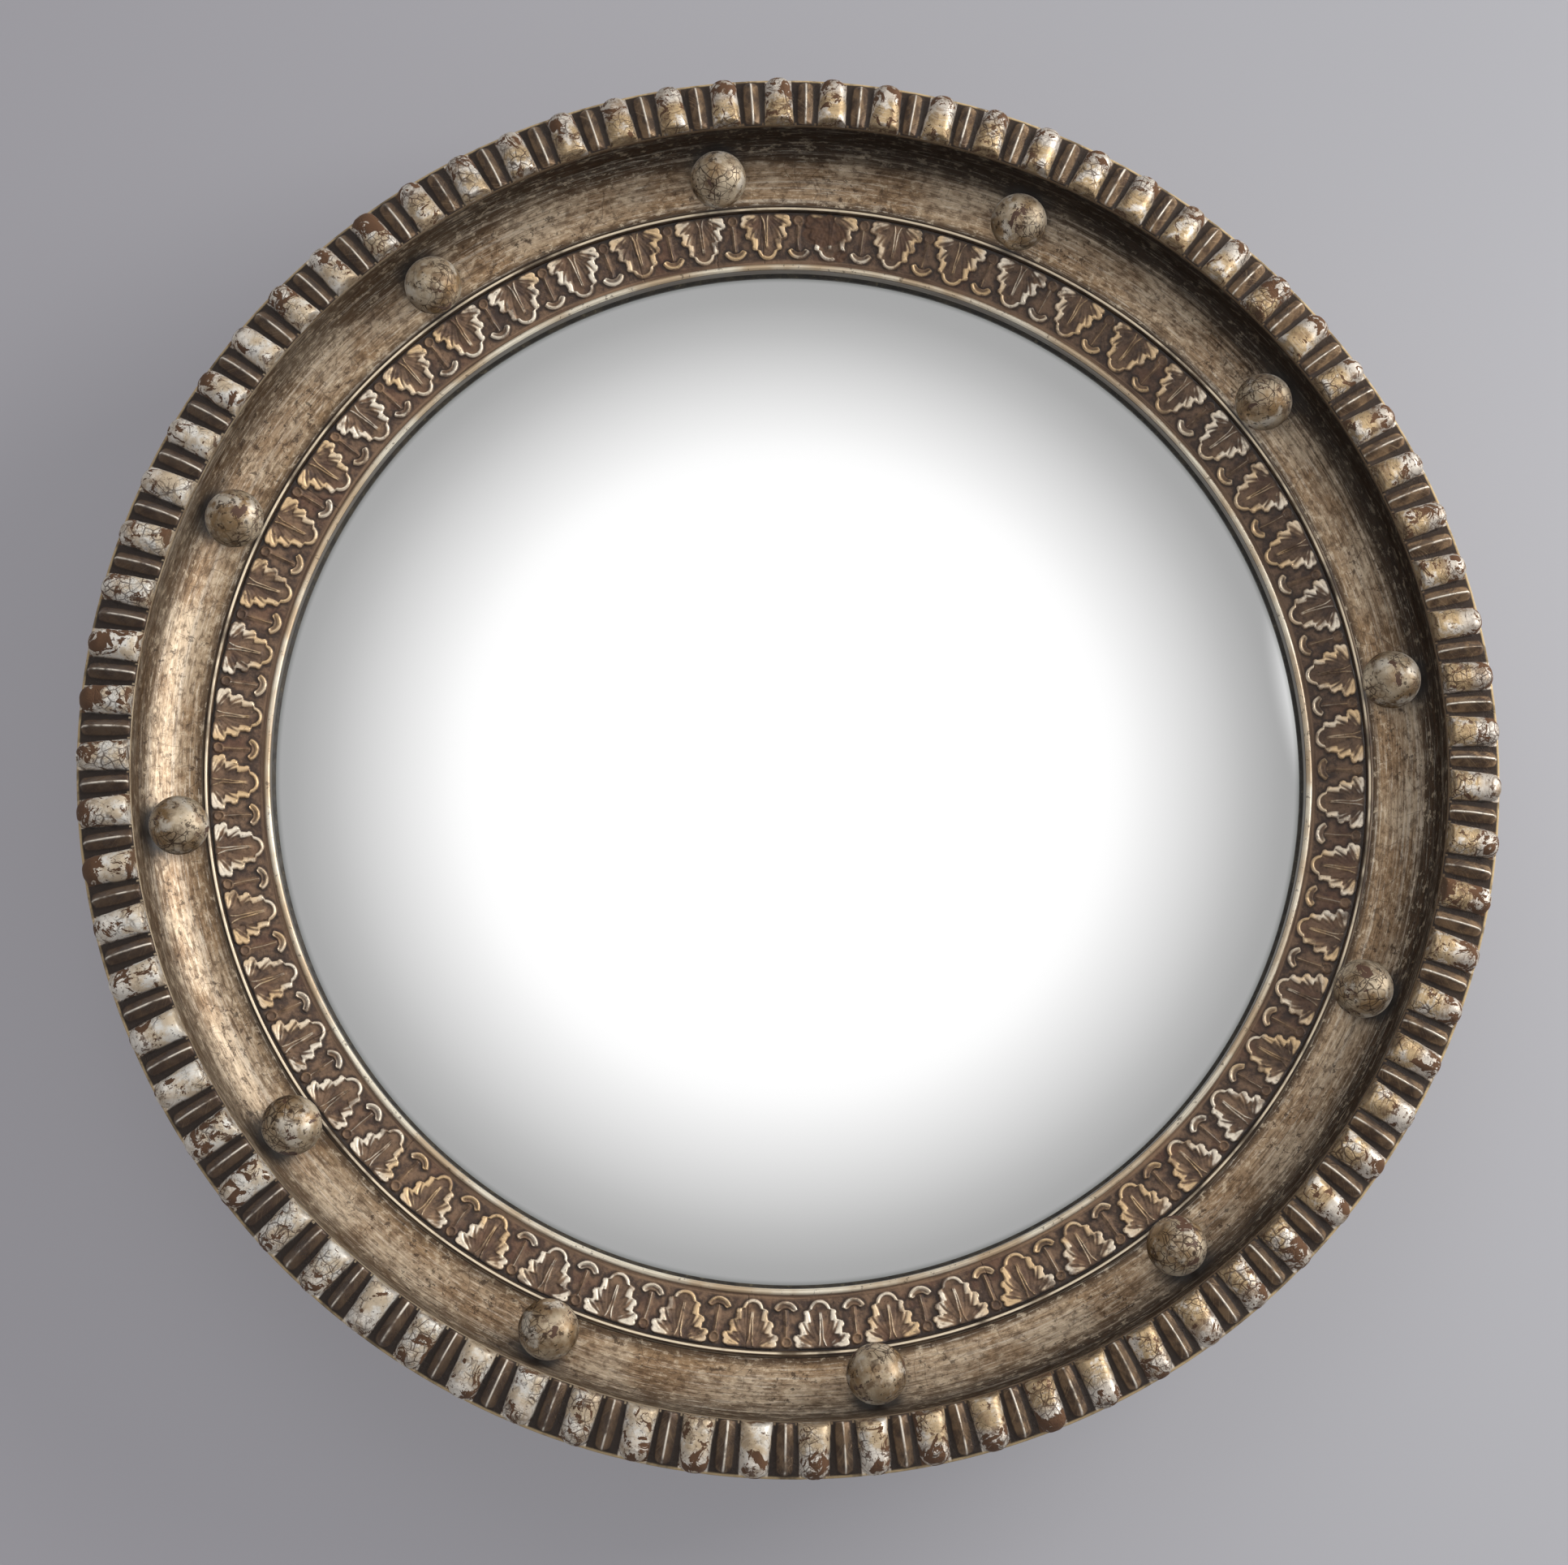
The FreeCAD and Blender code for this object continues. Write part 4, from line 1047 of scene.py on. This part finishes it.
place(strap(), "frame", ["hanger_strap"], "steel", steel)
place(wire_ring(), "hanging_ring", ["hanger_ring"], "steel", steel)
for index, z in enumerate((192.0, 200.0)):
    turn = screw_turns[BUTTONS + index]
    head = screw_head("hanger_screw_%d" % (index + 1), 0, z, 2.5, 2.7, 1.5, turn, 0.75, 0.6)
    place(head, "frame", None if index else ["hanger_screws"], "steel", steel)
pad_felt = felt()
place(felt_pad("felt_pad_left", 225.0), "frame", ["wall_bumpers"], "felt", pad_felt)
place(felt_pad("felt_pad_right", 315.0), "frame", None, "felt", pad_felt)
dress(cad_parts["packing_ring"], cork())
dress(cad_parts["ball_brads"], plain_metal("old_iron", "#4a423c", "#302a26", 0.5, 0.7, 0.8))


# ---------------------------------------------------------------- wall, floor, light and camera

def stage_sheet(name, corners, material):
    piece = new_mesh(name, corners, [[0, 1, 2, 3]], smooth=False)
    dress(piece, material)


def backdrop_material(name, colour, other, own_light=0.0):
    """A surface that only the camera sees, and only from its front, so that it hides nothing from behind; on the wall,
    painted light and shade make it lighter towards the lamp and darker at the top.
    """
    m = Shade(name)
    m.nodes.remove(m.surface)
    across, _, above = m.apart(m.object)
    # painted light on the wall: lighter to the right, towards the lamp
    painted_light_tone = m.blend(m.span(across, -0.34, 0.34), colour, other)
    # painted shade on the wall: darker at the top, most to the right
    corner = m.times(m.span(above, -0.05, 0.3), m.span(across, -0.1, 0.3, 0.15, 0.5))
    painted_light_tone = m.blend(corner, painted_light_tone, "#a0a0a5")
    paint, own = m.make("BsdfDiffuse", {"Color": painted_light_tone})[0], m.make("Emission", {"Color": painted_light_tone})[0]
    front = m.less(1.0, m.make("NewGeometry")["Backfacing"])
    shown = m.times(front, m.make("LightPath")["Is Camera Ray"])
    surface = m.make("MixShader", {0: own_light, 1: paint, 2: own})[0]
    seen = m.make("MixShader", {0: shown, 1: m.make("BsdfTransparent")[0], 2: surface})[0]
    m.links.new(seen, m.output.inputs[0])
    return m.material


WALL_Y = 0.0006
FLOOR_Z = -0.85
stage_sheet("wall", [(-3, WALL_Y, FLOOR_Z), (3, WALL_Y, FLOOR_Z), (3, WALL_Y, 2.4), (-3, WALL_Y, 2.4)],
            backdrop_material("wall_paint", "#acaaaf", "#bebec2", 0.42))
stage_sheet("floor", [(-3, -4, FLOOR_Z), (3, -4, FLOOR_Z), (3, 4, FLOOR_Z), (-3, 4, FLOOR_Z)],
            backdrop_material("floor_paint", "#cdcbcc", "#c8c6c7"))


def lamp(name, place_at, width, height, watts, colour=(1, 1, 1)):
    """A soft lamp that points at the mirror and isn't seen in it."""
    data = bpy.data.lights.new(name, "AREA")
    data.shape = "RECTANGLE"
    data.size, data.size_y = width, height
    data.energy = watts
    data.color = colour
    light = bpy.data.objects.new(name, data)
    light.location = place_at
    light.rotation_mode = "QUATERNION"
    light.rotation_quaternion = (-Vector(place_at)).to_track_quat("-Z", "Y")
    light.visible_glossy = False
    bpy.context.scene.collection.objects.link(light)


lamp("key", (1.15, -0.56, 0.36), 0.55, 0.75, 16.0, (1.0, 0.985, 0.96))
lamp("fill", (-0.3, -2.2, 1.9), 1.6, 1.6, 9, (0.97, 0.98, 1.0))
lamp("back", (0.6, 2.2, 1.4), 1.8, 1.8, 60)

# The photo's camera: from the mirror to it by two turns and a shift in millimetres; the mirror hangs turned by 7 degrees
FOCAL_PX, FRAME_PX, SENSOR = 3098.0, 1932.0, 36.0
hang, yaw, pitch = math.radians(6.99), math.radians(2.19), math.radians(-10.39)
to_mirror = Matrix(((math.cos(hang), 0, -math.sin(hang)), (math.sin(hang), 0, math.cos(hang)), (0, -1, 0)))
to_camera = Matrix.Rotation(yaw, 3, "Y") @ Matrix.Rotation(pitch, 3, "X")
pose = (to_camera @ to_mirror).to_4x4()
pose.translation = to_camera @ Vector((0, 0, -LIP_TOP * MM)) + Vector((2.9, 8.4, -828.1)) * MM
camera_data = bpy.data.cameras.new("camera")
camera_data.sensor_fit = "HORIZONTAL"
camera_data.sensor_width = SENSOR
camera_data.lens = FOCAL_PX / FRAME_PX * SENSOR
camera_data.clip_start = 0.02
camera = bpy.data.objects.new("camera", camera_data)
camera.matrix_world = pose.inverted()
bpy.context.scene.collection.objects.link(camera)
bpy.context.scene.camera = camera

# What shiny surfaces see of the room: brightness by degrees away from what the middle of the glass shows
GLASS_VIEW = (0.0375, 0.1743, 1.0)
ROOM_STOPS = ((0.0, 1.1), (24.5, 1.08), (27.0, 1.02), (29.0, 0.93), (31.5, 0.82), (34.5, 0.68), (37.5, 0.53),
              (40.5, 0.42), (44.0, 0.385), (70.0, 0.34), (110.0, 0.3), (180.0, 0.34))
# A soft bright patch at the right stands for the lamp, too far round for the glass to show it
LAMP_VIEW = (0.9, 0.26, 0.33)


def studio():
    """Even grey room; what shiny surfaces see is white round the glass's view and falls off to grey."""
    world = bpy.data.worlds.new("studio")
    bpy.context.scene.world = world
    world.use_nodes = True
    room = Nodes(world.node_tree)
    ahead = room.make("TexCoord")["Generated"]

    def cosine(view):
        axis = to_mirror.transposed() @ Vector(view).normalized()
        return room.make("VectorMath", {0: ahead, 1: axis}, operation="DOT_PRODUCT")["Value"]

    share = room.maths("DIVIDE", room.maths("ARCCOSINE", cosine(GLASS_VIEW)), math.pi)
    ramp = room.nodes.new("ShaderNodeValToRGB")
    room.links.new(share, ramp.inputs[0])
    stops = ramp.color_ramp.elements
    while len(stops) < len(ROOM_STOPS):
        stops.new(0.5)
    for element, (degrees, level) in zip(stops, ROOM_STOPS):
        element.position = degrees / 180.0
        element.color = (level, level, level, 1)
    glow = room.span(cosine(LAMP_VIEW), 0.9, 0.975, 0.0, 4.6)
    even = room.make("Background", {0: "#e2e2e8", 1: 0.46})[0]
    seen = room.make("Background", {0: room.vector("ADD", ramp.outputs[0], glow)})[0]
    plain = room.make("Background", {0: "#cdccd0"})[0]
    rays = room.make("LightPath")
    by_light = room.make("MixShader", {0: rays["Is Glossy Ray"], 1: even, 2: seen})[0]
    by_eye = room.make("MixShader", {0: rays["Is Camera Ray"], 1: by_light, 2: plain})[0]
    room.make("OutputWorld", {0: by_eye})


studio()
bpy.context.scene.view_settings.view_transform = "Standard"
